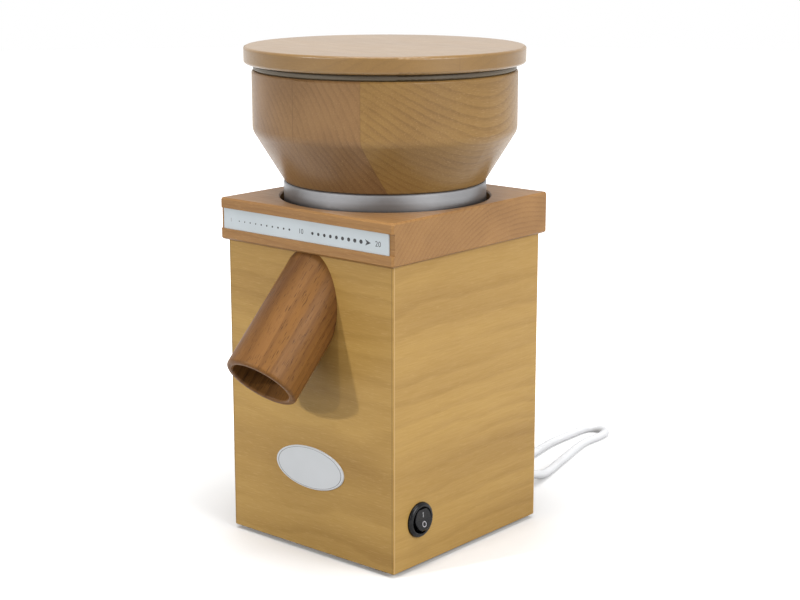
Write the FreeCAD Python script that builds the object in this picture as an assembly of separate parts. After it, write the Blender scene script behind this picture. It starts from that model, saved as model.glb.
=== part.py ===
"""Electric stone grain mill in a wooden housing, one solid per real piece.

Origin on the table under the milling axis. +Z up, -Y the front with the spout, +X the side with the switch.
"""

import FreeCAD, Part
import math
import os

V = FreeCAD.Vector
Z_AXIS = V(0, 0, 1)

# Housing
BODY_X = 142.1
BODY_Y = 147.8
PANEL = 12.0
FLOOR_GAP = 2.5
BODY_TOP = 199.7
EDGE_ROUND = 1.0
LOW_EDGE = 0.6
JOINT_GAP = 0.2
OUTLET_R = 5.5
VENT_LONG = 64.0
VENT_WIDE = 5.0
VENT_PITCH = 11.0
VENT_ROWS = 6
VENT_LOWEST = 108.0

# Cap board
CAP_X = 148.4
CAP_Y = 156.2
CAP_TOP = 227.1
CAP_CHAMFER = 1.2
RIM_CHAMFER = 0.8
HOLE_R = 68.75
SHOULDER_Z = 212.1
SHOULDER_R = 57.5

# Scale strip in its groove, open at both ends
GROOVE_LOW = 206.9
GROOVE_HIGH = 220.5
GROOVE_DEEP = 2.0
STRIP_ENDS = (-71.7, 70.0)
STRIP_THICK = 1.0

# Oval plate on the front
PLATE_Z = 58.1
PLATE_HALF_X = 29.6
PLATE_HALF_Z = 14.1
PLATE_THICK = 1.0

# Spout, leaning forward from the front panel
SPOUT_R = 24.5
SPOUT_BORE = 19.75
SPOUT_LEAN = 45.0
SPOUT_ROOT_Z = 167.0
SPOUT_LENGTH = 61.7
SPOUT_INSIDE = 60.0

# Base plate and corner blocks
BASE_LOW = 3.5
BASE_THICK = 6.0
BASE_SCREW_X = 50.0
BASE_SCREW_Y = 53.0
BASE_SCREW_LONG = 15.5
BASE_VENT_LONG = 66.0
BASE_VENT_ROWS = 7
BASE_VENT_FIRST = -39.0
BLOCK = 18.0
BLOCK_HIGH = 11.0
TOP_BLOCK = 14.0
TOP_BLOCK_HIGH = 24.0

# Feet: a small pad moulded round a headed stud at each corner of the panels
FOOT_INSET = 9.0
FOOT_R = 4.3
FOOT_ROUND = 0.6
STUD_R = 1.3
STUD_HEAD_R = 2.6
STUD_HEAD = (1.0, 1.9)
STUD_TOP = 14.5

# Wood and machine screws
SCREW_R = 1.8
SCREW_HOLE = 1.85
SCREW_HEAD_R = 3.6
CHAMBER_SCREW_CIRCLE = 63.0
COLLAR_SCREW_CIRCLE = 57.6
CARRIER_SCREW_CIRCLE = 42.5

# Milling chamber
CHAMBER_R = 57.0
CHAMBER_BORE = 53.0
CHAMBER_LOW = 170.0
CHAMBER_FLOOR = 176.0
FLANGE_R = 68.2
FLANGE_THICK = 5.0
MOUTH_HALF = 15.5
MOUTH_WALL = 3.0
FELT_R = 12.1

# Millstones
STONE_R = 44.0
STONE_THICK = 16.0
LOWER_STONE_Z = 182.0
STONE_GAP = 0.7
EYE_R = 12.5
FURROWS = 10
FURROW_WIDE = 3.2
FURROW_DEEP = 1.4
FURROW_OFFSET = 7.0
FURROW_START = 15.0
HUB_LOW = 179.0
HUB_R = 40.0
SWEEPERS = 3

# Motor
STACK_R = 45.0
STACK_LOW = 84.0
STACK_HIGH = 144.0
STATOR_BORE = 26.5
ROTOR_R = 26.0
SLOTS = 12
SHIELD_R = 47.0
SHIELD_INNER = 43.0
SHIELD_LOW = 56.0
BOLT_CIRCLE = 50.0
BOLT_FIRST = 30.0
EAR_R = 5.0
SHAFT_R = 6.0
SHAFT_LOW = 40.0
SHAFT_HIGH = 203.0
NOSE_R = 4.0
JOURNAL_R = 9.0
UPPER_SEAT_R = 7.5
UPPER_BEARING = (156.0, 167.0)
UPPER_BEARING_R = 17.5
LOWER_BEARING = (58.0, 68.0)
LOWER_BEARING_R = 16.0
RUNNING_FIT = 0.04
FAN_R = 41.0
FAN_BLADES = 9

# Hopper, collar and lid
COLLAR_R = 66.1
COLLAR_LOW = 219.0
BOWL_LOW = 237.5
BOWL_FOOT_R = 65.4
BOWL_R = 85.8
BOWL_KNEE = 270.7
BOWL_TOP = 308.9
BOWL_WALL = 9.0
THROAT_R = 31.0
THREAD_R = 52.7
THREAD_LOW = 203.0
CARRIER_SEAT = 218.7
CARRIER_THICK = 4.0
LID_R = 90.8
LID_LOW = 313.3
LID_TOP = 324.2
LID_PLUG_R = 84.8
LID_PLUG_DEEP = 5.0
LID_PLUG_ROUND = 1.6
PIN_CIRCLE = 64.35
PINS = 3

# Switch on the right side, sizes along its own axis from the panel's face
SWITCH_Y = -49.0
SWITCH_Z = 32.8
SWITCH_POCKET_R = 14.0
BEZEL_R = 11.5
BEZEL_PROUD = 2.6
BARREL_R = 9.9
BARREL_LONG = 19.4
CAVITY_R = 8.7
CAVITY_DEEP = 9.0
ROCKER_R = 7.5
ROCKER_SWING = 8.4
ROCKER_TILT = 10.0
ROCKER_DEPTH = 5.4
ROCKER_FACE = 3.5
ROCKER_DISH = 0.75
ROCKER_EDGE = 0.3
ROCKER_PIN = -1.2
ROCKER_PIN_R = 1.2

# Mains cord
CORD_D = 6.2
CORD_R = CORD_D / 2
OUTLET_X = 33.0
OUTLET_Z = 13.0
RELIEF_END = 100.0
RELIEF_INSIDE = 10.0
COIL_X = -45.0
COIL_Y = 135.0
COIL_R = 42.0
COIL_Z = 3.9
COIL_PITCH = 6.9
COIL_TURNS = 2.5
TIE_ANGLE = 100.0
TIE_WIDE = 8.0
PLUG_SLEEVE = 31.0
PLUG_R = 18.5
PLUG_TALL = 22.0

# Centre line of the free cord, from the sleeve to the start of the coil
CORD_ROUTE = [
    (33.0, 100.0, 13.0),
    (33.0, 112.0, 13.0),
    (32.2, 126.0, 9.0),
    (29.8, 140.0, 4.2),
    (26.0, 155.0, 3.15),
    (21.4, 171.0, 3.15),
    (16.4, 190.0, 3.15),
    (10.4, 211.0, 3.15),
    (6.2, 230.0, 3.15),
    (7.3, 247.0, 3.15),
    (6.0, 258.0, 3.15),
    (2.3, 263.1, 3.15),
    (-3.6, 265.0, 3.15),
    (-9.5, 263.1, 3.15),
    (-13.0, 258.0, 3.15),
    (-13.6, 247.0, 3.15),
    (-13.2, 230.0, 3.15),
    (-12.8, 211.0, 3.15),
    (-9.6, 193.0, 3.15),
    (-6.2, 176.0, 3.3),
    (-3.8, 163.0, 3.9),
    (-3.0, 152.0, 3.9),
    (-3.0, 141.2, 3.9),
]

# Insulated wires inside the housing
WIRE_R = 1.3
LIVE_WIRE = [
    (34.0, 29.0, 15.0),
    (34.0, 18.0, 15.0),
    (34.5, 2.0, 15.6),
    (35.0, -16.0, 19.0),
    (34.0, -31.0, 26.0),
    (33.0, -42.0, 33.5),
    (36.5, -48.4, 36.7),
    (43.0, -48.4, 36.7),
]
SWITCHED_WIRE = [
    (43.0, -48.4, 27.7),
    (36.5, -48.4, 27.7),
    (29.5, -51.0, 32.0),
    (23.0, -54.0, 43.0),
    (17.0, -55.0, 56.0),
    (14.2, -53.0, 68.0),
    (12.4, -46.3, 74.0),
    (11.2, -41.9, 74.0),
]
NEUTRAL_WIRE = [
    (24.0, 44.0, 15.0),
    (24.0, 50.5, 15.0),
    (22.0, 55.5, 22.0),
    (18.5, 57.0, 35.0),
    (15.8, 57.0, 48.0),
    (14.6, 56.0, 60.0),
    (13.8, 52.5, 69.5),
    (12.4, 46.3, 74.0),
    (11.2, 41.9, 74.0),
]
CAPACITOR_WIRE = [
    (-40.0, 46.5, 149.1),
    (-40.0, 46.5, 155.0),
    (-43.0, 42.0, 159.5),
    (-47.0, 34.5, 159.0),
    (-46.0, 27.5, 153.0),
    (-41.6, 24.0, 150.0),
    (-37.2, 21.5, 150.0),
]

FRONT = -BODY_Y / 2
BACK = BODY_Y / 2
SIDE = BODY_X / 2
INNER_X = SIDE - PANEL
INNER_Y = BACK - PANEL
CAP_FRONT = -CAP_Y / 2
BASE_HIGH = BASE_LOW + BASE_THICK
FOOT_X = SIDE - FOOT_INSET
FOOT_Y = BACK - FOOT_INSET
CAP_SCREW_X = INNER_X - TOP_BLOCK / 2
CAP_SCREW_Y = INNER_Y - TOP_BLOCK / 2


def save(name, shape):
    """Write one named piece."""
    shape.exportStep("parts/" + name + ".step")
    print(f"{name}: {len(shape.Solids)} solids, {shape.Volume / 1000:.2f} cm3, valid {shape.isValid()}")


def block(x, y, z):
    """A box between pairs of limits."""
    return Part.makeBox(x[1] - x[0], y[1] - y[0], z[1] - z[0], V(x[0], y[0], z[0]))


def rod(radius, start, end):
    """A cylinder from one point to another."""
    start = V(*start)
    end = V(*end)
    return Part.makeCylinder(radius, (end - start).Length, start, end - start)


def upright(radius, low, high, x=0.0, y=0.0):
    """A vertical cylinder."""
    return rod(radius, (x, y, low), (x, y, high))


def corner_arc(before, point, after, radius):
    """The arc that rounds a corner, as its two ends and its middle."""
    back = (before - point).normalize()
    ahead = (after - point).normalize()
    half = back.getAngle(ahead) / 2
    reach = radius / math.tan(half)
    inward = (back + ahead).normalize()
    middle = point + inward * (radius / math.sin(half) - radius)
    return point + back * reach, middle, point + ahead * reach


def rounded_wire(corners, closed, flat=False):
    """A wire of straight runs through (point, radius) corners, each rounded, or cut off where flat is set."""
    count = len(corners)
    legs = []
    for i, (point, radius) in enumerate(corners):
        at_end = not closed and i in (0, count - 1)
        if radius == 0 or at_end:
            legs.append((point, None, point))
        else:
            legs.append(corner_arc(corners[i - 1][0], point, corners[(i + 1) % count][0], radius))
    edges = []
    for i, (enter, middle, leave) in enumerate(legs):
        if middle is not None and flat:
            edges.append(Part.LineSegment(enter, leave).toShape())
        elif middle is not None:
            edges.append(Part.Arc(enter, middle, leave).toShape())
        if closed or i < count - 1:
            following = legs[(i + 1) % count][0]
            if (following - leave).Length > 1e-6:
                edges.append(Part.LineSegment(leave, following).toShape())
    return Part.Wire(edges)


def turned(profile, flat=False):
    """A solid turned about Z from (radius, height[, corner size]) corners, rounded or, if flat, bevelled."""
    corners = [(V(c[0], 0, c[1]), c[2] if len(c) > 2 else 0) for c in profile]
    return Part.Face(rounded_wire(corners, True, flat)).revolve(V(0, 0, 0), Z_AXIS, 360)


def prism(points, normal):
    """A flat outline pushed along a vector."""
    corners = [V(*p) for p in points]
    return Part.Face(Part.makePolygon(corners + corners[:1])).extrude(V(*normal))


def around(shape, count, first=0.0):
    """Copies of a shape spaced evenly about Z."""
    copies = []
    for i in range(count):
        copy = shape.copy()
        copy.rotate(V(0, 0, 0), Z_AXIS, first + 360.0 * i / count)
        copies.append(copy)
    return copies


def four_corners(shape):
    """A piece in the +X +Y corner, mirrored into the other three."""
    copies = [shape]
    for normal in (V(1, 0, 0), V(0, 1, 0)):
        copies += [copy.mirror(V(0, 0, 0), normal) for copy in copies]
    return copies


def group(shapes):
    """Separate solids in one piece."""
    solids = []
    for shape in shapes:
        solids += shape.Solids
    return Part.makeCompound(solids)


def joined(shapes):
    """One solid made from shapes that overlap."""
    return shapes[0].multiFuse(shapes[1:]).removeSplitter()


def tube(wire, radius):
    """A round bar swept along a smooth wire."""
    edge = wire.OrderedEdges[0]
    start = edge.valueAt(edge.FirstParameter)
    along = edge.tangentAt(edge.FirstParameter)
    if (start - wire.OrderedVertexes[0].Point).Length > 1e-6:
        start = edge.valueAt(edge.LastParameter)
        along = edge.tangentAt(edge.LastParameter) * -1
    section = Part.Wire(Part.makeCircle(radius, start, along))
    bar = wire.makePipeShell([section], True, False)
    share = bar.Volume / (math.pi * radius**2 * wire.Length)
    print(f"tube: length {wire.Length:.1f} mm, volume over section times length {share:.4f}")
    return bar


def route_wire(points):
    """Straight runs joined by tangent arcs as large as the runs allow."""
    spots = [V(*p) for p in points]
    corners = [(spots[0], 0)]
    radii = []
    for i in range(1, len(spots) - 1):
        back = spots[i] - spots[i - 1]
        ahead = spots[i + 1] - spots[i]
        radius = 0.45 * min(back.Length, ahead.Length) / math.tan(back.getAngle(ahead) / 2)
        radii.append(radius)
        corners.append((spots[i], radius))
    corners.append((spots[-1], 0))
    print("cord radii in mm:", " ".join(f"{r:.0f}" for r in radii))
    return rounded_wire(corners, False)


def spout_axis(distance):
    """A point on the spout's axis, that far from the front face."""
    lean = math.radians(SPOUT_LEAN)
    return V(0, FRONT - distance * math.sin(lean), SPOUT_ROOT_Z - distance * math.cos(lean))


def mitred(frame, plan):
    """What a frame has inside a four-sided plan."""
    return frame.common(prism([(x, y, 0) for x, y in plan], (0, 0, CAP_TOP)))


def panels():
    """Four mitred panels, cut from one hollow frame, with a hole for each foot's stud in the mitres."""
    outer = block((-SIDE, SIDE), (FRONT, BACK), (FLOOR_GAP, BODY_TOP))
    upright_edges = [e for e in outer.Edges if abs(e.tangentAt(e.FirstParameter).z) > 0.9]
    outer = outer.makeFillet(EDGE_ROUND, upright_edges)
    low_edges = [e for e in outer.Edges if e.BoundBox.ZMax < FLOOR_GAP + 0.01]
    outer = outer.makeChamfer(LOW_EDGE, low_edges)
    frame = outer.cut(block((-INNER_X, INNER_X), (-INNER_Y, INNER_Y), (0, CAP_TOP)))
    for hole in four_corners(upright(STUD_R + 0.05, 0, STUD_TOP + 0.5, FOOT_X, FOOT_Y)):
        frame = frame.cut(hole)
    over = 5.0
    wide_x = SIDE + over
    wide_y = BACK + over
    slim_x = INNER_X - over
    slim_y = INNER_Y - over

    front = mitred(frame, [(-wide_x, -wide_y), (wide_x, -wide_y), (slim_x, -slim_y), (-slim_x, -slim_y)])
    spout_hole = rod(SPOUT_R + 0.1, spout_axis(-SPOUT_INSIDE), spout_axis(SPOUT_INSIDE))
    save("front_panel", front.cut(spout_hole))

    right = mitred(frame, [(wide_x, -wide_y), (wide_x, wide_y), (slim_x, slim_y), (slim_x, -slim_y)])
    save("left_panel", right.mirror(V(0, 0, 0), V(1, 0, 0)))
    pocket_floor = SIDE - 3.0
    switch_hole = rod(BARREL_R + 0.1, (0, SWITCH_Y, SWITCH_Z), (SIDE + 5, SWITCH_Y, SWITCH_Z))
    pocket = rod(SWITCH_POCKET_R, (INNER_X - 1, SWITCH_Y, SWITCH_Z), (pocket_floor, SWITCH_Y, SWITCH_Z))
    save("right_panel", right.cut(switch_hole).cut(pocket))

    rear = mitred(frame, [(-wide_x, wide_y), (wide_x, wide_y), (slim_x, slim_y), (-slim_x, slim_y)])
    rear = rear.cut(rod(OUTLET_R, (OUTLET_X, INNER_Y - 1, OUTLET_Z), (OUTLET_X, BACK + 1, OUTLET_Z)))
    for row in range(VENT_ROWS):
        rear = rear.cut(back_vent(VENT_LOWEST + VENT_PITCH * row))
    save("back_panel", rear)


def back_vent(z):
    """A slot with round ends through the back panel."""
    reach = (VENT_LONG - VENT_WIDE) / 2
    half = VENT_WIDE / 2
    slot = block((-reach, reach), (INNER_Y - 1, BACK + 1), (z - half, z + half))
    ends = [rod(half, (x, INNER_Y - 1, z), (x, BACK + 1, z)) for x in (-reach, reach)]
    return joined([slot] + ends)


def cap_board():
    """Thick top board: stepped round hole, groove for the scale, holes for pins and screws."""
    board = block((-CAP_X / 2, CAP_X / 2), (CAP_FRONT, -CAP_FRONT), (BODY_TOP, CAP_TOP))
    board = board.makeChamfer(CAP_CHAMFER, board.Edges)
    board = board.cut(upright(HOLE_R, SHOULDER_Z, CAP_TOP + 1))
    board = board.cut(upright(SHOULDER_R, BODY_TOP - 1, SHOULDER_Z + 1))
    top_circles = [e for e in board.Edges if e.Curve.TypeId == "Part::GeomCircle" and e.BoundBox.ZMin > CAP_TOP - 0.01]
    board = board.makeChamfer(RIM_CHAMFER, top_circles)
    groove = block((-CAP_X, CAP_X), (CAP_FRONT - 1, CAP_FRONT + GROOVE_DEEP), (GROOVE_LOW, GROOVE_HIGH))
    board = board.cut(groove)
    for pocket in around(upright(3.2, SHOULDER_Z - 9.1, SHOULDER_Z + 1, PIN_CIRCLE), PINS, 90):
        board = board.cut(pocket)
    for hole in around(upright(1.65, BODY_TOP + 1.5, SHOULDER_Z + 1, CHAMBER_SCREW_CIRCLE), 4, 45):
        board = board.cut(hole)
    for hole in four_corners(upright(SCREW_HOLE, BODY_TOP - 1, BODY_TOP + 13.0, CAP_SCREW_X, CAP_SCREW_Y)):
        board = board.cut(hole)
    save("cap_board", board)

    floor = CAP_FRONT + GROOVE_DEEP
    strip = block(STRIP_ENDS, (floor - STRIP_THICK, floor), (GROOVE_LOW + 0.1, GROOVE_HIGH - 0.1))
    save("scale_strip", strip)


def name_plate():
    """Bare oval plate on the front panel."""
    oval = Part.Ellipse(V(0, FRONT, PLATE_Z), PLATE_HALF_X, PLATE_HALF_Z)
    oval.Axis = V(0, -1, 0)
    oval.XAxis = V(1, 0, 0)
    plate = Part.Face(Part.Wire(oval.toShape())).extrude(V(0, -PLATE_THICK, 0))
    front_edges = [e for e in plate.Edges if e.BoundBox.YMax < FRONT - PLATE_THICK + 0.01]
    save("name_plate", plate.makeChamfer(0.35, front_edges))


def spout():
    """Wooden tube with a rounded mouth, cut flush inside the housing and under the cap."""
    length = SPOUT_LENGTH + SPOUT_INSIDE
    profile = [
        (SPOUT_BORE, 0),
        (SPOUT_R, 0),
        (SPOUT_R, length, 2.1),
        (SPOUT_BORE, length, 1.4),
    ]
    pipe = turned(profile)
    pipe.rotate(V(0, 0, 0), V(1, 0, 0), 180.0 - SPOUT_LEAN)
    pipe.translate(spout_axis(-SPOUT_INSIDE))
    keep = block((-50, 50), (FRONT - 100, -INNER_Y), (0, BODY_TOP - 0.05))
    save("spout", pipe.common(keep))


def blocks():
    """Glue blocks in the corners, low ones for the base plate and high ones with the screws into the cap."""
    corner_x = (INNER_X - BLOCK, INNER_X)
    corner_y = (INNER_Y - BLOCK, INNER_Y)
    low_block = block(corner_x, corner_y, (BASE_HIGH, BASE_HIGH + BLOCK_HIGH))
    low_block = low_block.cut(upright(SCREW_HOLE, 0, BASE_HIGH + BLOCK_HIGH + 1, BASE_SCREW_X, BASE_SCREW_Y))
    save("base_blocks", group(four_corners(low_block)))

    corner_x = (INNER_X - TOP_BLOCK, INNER_X)
    corner_y = (INNER_Y - TOP_BLOCK, INNER_Y)
    head_z = BODY_TOP - TOP_BLOCK_HIGH
    high_block = block(corner_x, corner_y, (head_z, BODY_TOP))
    high_block = high_block.cut(upright(SCREW_HOLE, 0, CAP_TOP, CAP_SCREW_X, CAP_SCREW_Y))
    save("top_blocks", group(four_corners(high_block)))
    head = upright(SCREW_HEAD_R, head_z - 2.4, head_z, CAP_SCREW_X, CAP_SCREW_Y)
    shank = upright(SCREW_R, head_z - 1, BODY_TOP + 12.0, CAP_SCREW_X, CAP_SCREW_Y)
    save("cap_screws", group(four_corners(joined([head, shank]))))


def base():
    """Base plate with vents, let in between the panels and screwed to the blocks from below."""
    edge_x = INNER_X - JOINT_GAP
    edge_y = INNER_Y - JOINT_GAP
    plate = block((-edge_x, edge_x), (-edge_y, edge_y), (BASE_LOW, BASE_HIGH))
    sink = SCREW_HEAD_R - SCREW_HOLE
    seat = turned([
        (0, BASE_LOW - 1),
        (SCREW_HEAD_R, BASE_LOW - 1),
        (SCREW_HEAD_R, BASE_LOW),
        (SCREW_HOLE, BASE_LOW + sink),
        (SCREW_HOLE, BASE_HIGH + 1),
        (0, BASE_HIGH + 1),
    ])
    seat.translate(V(BASE_SCREW_X, BASE_SCREW_Y, 0))
    for hole in four_corners(seat):
        plate = plate.cut(hole)
    for row in range(BASE_VENT_ROWS):
        plate = plate.cut(base_vent(BASE_VENT_FIRST + VENT_PITCH * row))
    save("base_plate", plate)

    screw = turned([
        (0, BASE_LOW),
        (SCREW_HEAD_R, BASE_LOW),
        (SCREW_R, BASE_LOW + SCREW_HEAD_R - SCREW_R),
        (SCREW_R, BASE_LOW + BASE_SCREW_LONG),
        (0, BASE_LOW + BASE_SCREW_LONG),
    ])
    screw.translate(V(BASE_SCREW_X, BASE_SCREW_Y, 0))
    save("base_screws", group(four_corners(screw)))


def base_vent(y):
    """A slot with round ends through the base plate."""
    reach = (BASE_VENT_LONG - VENT_WIDE) / 2
    half = VENT_WIDE / 2
    slot = block((-reach, reach), (y - half, y + half), (BASE_LOW - 1, BASE_HIGH + 1))
    ends = [upright(half, BASE_LOW - 1, BASE_HIGH + 1, x, y) for x in (-reach, reach)]
    return joined([slot] + ends)


def feet():
    """Pads under the mitred corners, each moulded round the head of the stud that holds it."""
    head = upright(STUD_HEAD_R, STUD_HEAD[0], STUD_HEAD[1], FOOT_X, FOOT_Y)
    shank = upright(STUD_R, STUD_HEAD[0], STUD_TOP, FOOT_X, FOOT_Y)
    stud = joined([head, shank])
    pad = turned([(0, 0), (FOOT_R, 0, FOOT_ROUND), (FOOT_R, FLOOR_GAP), (0, FLOOR_GAP)])
    pad.translate(V(FOOT_X, FOOT_Y, 0))
    save("feet", group(four_corners(pad.cut(stud))))
    save("foot_screws", group(four_corners(stud)))


def milling_chamber():
    """Cast pot that hangs in the cap's hole, with a sloping mouth into the spout."""
    pot = turned([
        (12.2, CHAMBER_LOW),
        (CHAMBER_R, CHAMBER_LOW),
        (CHAMBER_R, SHOULDER_Z),
        (FLANGE_R, SHOULDER_Z),
        (FLANGE_R, SHOULDER_Z + FLANGE_THICK, 0.8),
        (CHAMBER_BORE, SHOULDER_Z + FLANGE_THICK, 0.8),
        (CHAMBER_BORE, CHAMBER_FLOOR, 1.5),
        (15.0, CHAMBER_FLOOR),
        (15.0, CHAMBER_FLOOR + 2.2),
        (12.2, CHAMBER_FLOOR + 2.2),
    ], flat=True)
    face = -INNER_Y + 0.3
    outside = [(-49.0, 170.0), (face, 160.5), (face, 199.2), (-49.0, 199.2)]
    inside = [(-45.0, CHAMBER_FLOOR), (-52.0, CHAMBER_FLOOR), (face - 1, 166.0), (face - 1, 195.5), (-45.0, 195.5)]
    wall = MOUTH_HALF + MOUTH_WALL
    mouth = prism([(-wall, y, z) for y, z in outside], (2 * wall, 0, 0))
    mouth = mouth.cut(upright(CHAMBER_BORE, CHAMBER_LOW - 20, 200))
    duct = prism([(-MOUTH_HALF, y, z) for y, z in inside], (2 * MOUTH_HALF, 0, 0))
    pot = joined([pot, mouth]).cut(duct)
    for hole in around(upright(2.3, SHOULDER_Z - 1, SHOULDER_Z + 10, PIN_CIRCLE), PINS, 90):
        pot = pot.cut(hole)
    seat = SHOULDER_Z + FLANGE_THICK - 1.8
    shank = upright(SCREW_HOLE, SHOULDER_Z - 1, seat + 1, CHAMBER_SCREW_CIRCLE)
    head = upright(3.4, seat, seat + 3, CHAMBER_SCREW_CIRCLE)
    for hole in around(joined([shank, head]), 4, 45):
        pot = pot.cut(hole)
    for hole in around(upright(2.05, CHAMBER_LOW - 1, CHAMBER_LOW + 4.5, BOLT_CIRCLE), 4, BOLT_FIRST):
        pot = pot.cut(hole)
    save("milling_chamber", pot)

    shank = upright(1.6, SHOULDER_Z - 10.0, seat + 1, CHAMBER_SCREW_CIRCLE)
    head = upright(3.2, seat, seat + 1.6, CHAMBER_SCREW_CIRCLE)
    save("chamber_screws", group(around(joined([shank, head]), 4, 45)))
    bore = SHAFT_R + 0.3
    low = CHAMBER_LOW + 1.0
    high = HUB_LOW - 1.2
    save("felt_seal", turned([(bore, low), (FELT_R, low), (FELT_R, high), (bore, high)]))


def furrow(face_z, up):
    """One grinding furrow, off centre, as a shallow bar to cut from a stone's face."""
    reach = STONE_R + 2
    low = face_z - FURROW_DEEP if up else face_z - 1
    sides = (FURROW_OFFSET, FURROW_OFFSET + FURROW_WIDE)
    return block((FURROW_START, reach), sides, (low, low + FURROW_DEEP + 1))


def running_stone():
    """Lower stone, its hub with sweepers, and the feed nut. They turn with the shaft."""
    top = LOWER_STONE_Z + STONE_THICK
    stone = turned([
        (SHAFT_R + 0.1, LOWER_STONE_Z),
        (STONE_R, LOWER_STONE_Z),
        (STONE_R, top, 0.8),
        (26.0, top),
        (14.0, top - 3.0),
        (11.4, top - 3.0),
        (11.4, top - 5.0),
        (SHAFT_R + 0.1, top - 5.0),
    ], flat=True)
    for bar in around(furrow(top, True), FURROWS):
        stone = stone.cut(bar)
    save("lower_stone", stone)

    fit = SHAFT_R + 0.02
    hub = turned([(fit, HUB_LOW), (HUB_R, HUB_LOW), (HUB_R, LOWER_STONE_Z), (fit, LOWER_STONE_Z)])
    paddle = block((HUB_R - 4.0, CHAMBER_BORE - 2.0), (-1.5, 1.5), (HUB_LOW - 2.0, LOWER_STONE_Z - 0.6))
    save("stone_hub", joined([hub] + around(paddle, SWEEPERS, 20)))

    nut = turned([
        (0, top - 5.0),
        (11.0, top - 5.0),
        (11.0, top - 2.0),
        (8.0, top - 1.0),
        (NOSE_R, SHAFT_HIGH + 4.0, 1.5),
        (0, SHAFT_HIGH + 4.0),
    ], flat=True)
    vane = block((3.0, 10.6), (-1.0, 1.0), (top - 3.0, SHAFT_HIGH + 1.0))
    save("feed_nut", joined([nut] + around(vane, 2)).cut(upright(NOSE_R, top - 6.0, SHAFT_HIGH)))


def wire_hole(route):
    """The hole in a shield's wall that a wire's last run goes through."""
    inner = V(*route[-1])
    outer = V(*route[-2])
    return rod(WIRE_R + 0.4, inner, outer * 2 - inner)


def motor():
    """Induction motor that hangs under the chamber: two shields, bolts, wound stack, rotor and fan."""
    rim_high = STACK_HIGH - 4.0
    upper = turned([
        (8.4, CHAMBER_LOW),
        (SHIELD_R, CHAMBER_LOW, 1.5),
        (SHIELD_R, rim_high),
        (STACK_R + 0.1, rim_high),
        (STACK_R + 0.1, STACK_HIGH),
        (SHIELD_INNER, STACK_HIGH),
        (SHIELD_INNER, 164.0, 3.0),
        (UPPER_BEARING_R + 3.0, 164.0, 2.0),
        (UPPER_BEARING_R + 3.0, UPPER_BEARING[0]),
        (UPPER_BEARING_R + 0.05, UPPER_BEARING[0]),
        (UPPER_BEARING_R + 0.05, UPPER_BEARING[1]),
        (8.4, UPPER_BEARING[1]),
    ], flat=True)
    ears = around(upright(EAR_R, rim_high, CHAMBER_LOW, BOLT_CIRCLE), 4, BOLT_FIRST)
    bored = around(upright(2.1, 0, CHAMBER_LOW + 1, BOLT_CIRCLE), 4, BOLT_FIRST)
    inside = upright(SHIELD_INNER + 0.5, rim_high - 1, 163.0)
    ears = [ear.cut(inside).cut(upright(STACK_R + 0.1, rim_high - 1, STACK_HIGH)) for ear in ears]
    upper = joined([upper] + ears).cut(group(bored)).cut(wire_hole(CAPACITOR_WIRE))
    save("upper_end_shield", upper)

    rim_low = STACK_LOW + 4.0
    lower = turned([
        (7.0, SHIELD_LOW),
        (SHIELD_R, SHIELD_LOW, 1.5),
        (SHIELD_R, rim_low),
        (STACK_R + 0.1, rim_low),
        (STACK_R + 0.1, STACK_LOW),
        (SHIELD_INNER, STACK_LOW),
        (SHIELD_INNER, 61.0, 3.0),
        (LOWER_BEARING_R + 3.0, 61.0, 2.0),
        (LOWER_BEARING_R + 3.0, LOWER_BEARING[1]),
        (LOWER_BEARING_R + 0.05, LOWER_BEARING[1]),
        (LOWER_BEARING_R + 0.05, LOWER_BEARING[0]),
        (7.0, LOWER_BEARING[0]),
    ], flat=True)
    ears = around(upright(EAR_R, SHIELD_LOW, rim_low, BOLT_CIRCLE), 4, BOLT_FIRST)
    inside = upright(SHIELD_INNER + 0.5, 62.0, rim_low + 1)
    ears = [ear.cut(inside).cut(upright(STACK_R + 0.1, STACK_LOW, rim_low + 1)) for ear in ears]
    lower = joined([lower] + ears).cut(group(bored))
    for window in around(upright(5.5, SHIELD_LOW - 1, 62.0, 31.0), 8):
        lower = lower.cut(window)
    lower = lower.cut(wire_hole(SWITCHED_WIRE)).cut(wire_hole(NEUTRAL_WIRE))
    save("lower_end_shield", lower)

    head = upright(3.5, SHIELD_LOW - 3.2, SHIELD_LOW, BOLT_CIRCLE)
    shank = upright(2.0, SHIELD_LOW - 1, CHAMBER_LOW + 4.0, BOLT_CIRCLE)
    save("motor_bolts", group(around(joined([head, shank]), 4, BOLT_FIRST)))
    stator()
    rotor()


def stator():
    """Ring of laminations with its windings, which fill the slots and stand out as a ring at each end."""
    stack = upright(STACK_R, STACK_LOW, STACK_HIGH).cut(upright(STATOR_BORE, STACK_LOW - 1, STACK_HIGH + 1))
    slot = block((28.5, 40.0), (-3.0, 3.0), (STACK_LOW - 1, STACK_HIGH + 1))
    for cut in around(slot, SLOTS):
        stack = stack.cut(cut)
    save("stator_stack", stack)
    bars = around(block((29.0, 39.5), (-2.8, 2.8), (STACK_LOW - 2, STACK_HIGH + 2)), SLOTS)
    heads = []
    for low, high in ((70.5, STACK_LOW - 0.4), (STACK_HIGH + 0.4, 155.5)):
        heads.append(turned([(28.2, low, 4.0), (41.8, low, 4.0), (41.8, high, 2.0), (28.2, high, 2.0)], flat=True))
    save("windings", joined(heads + bars))


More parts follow.
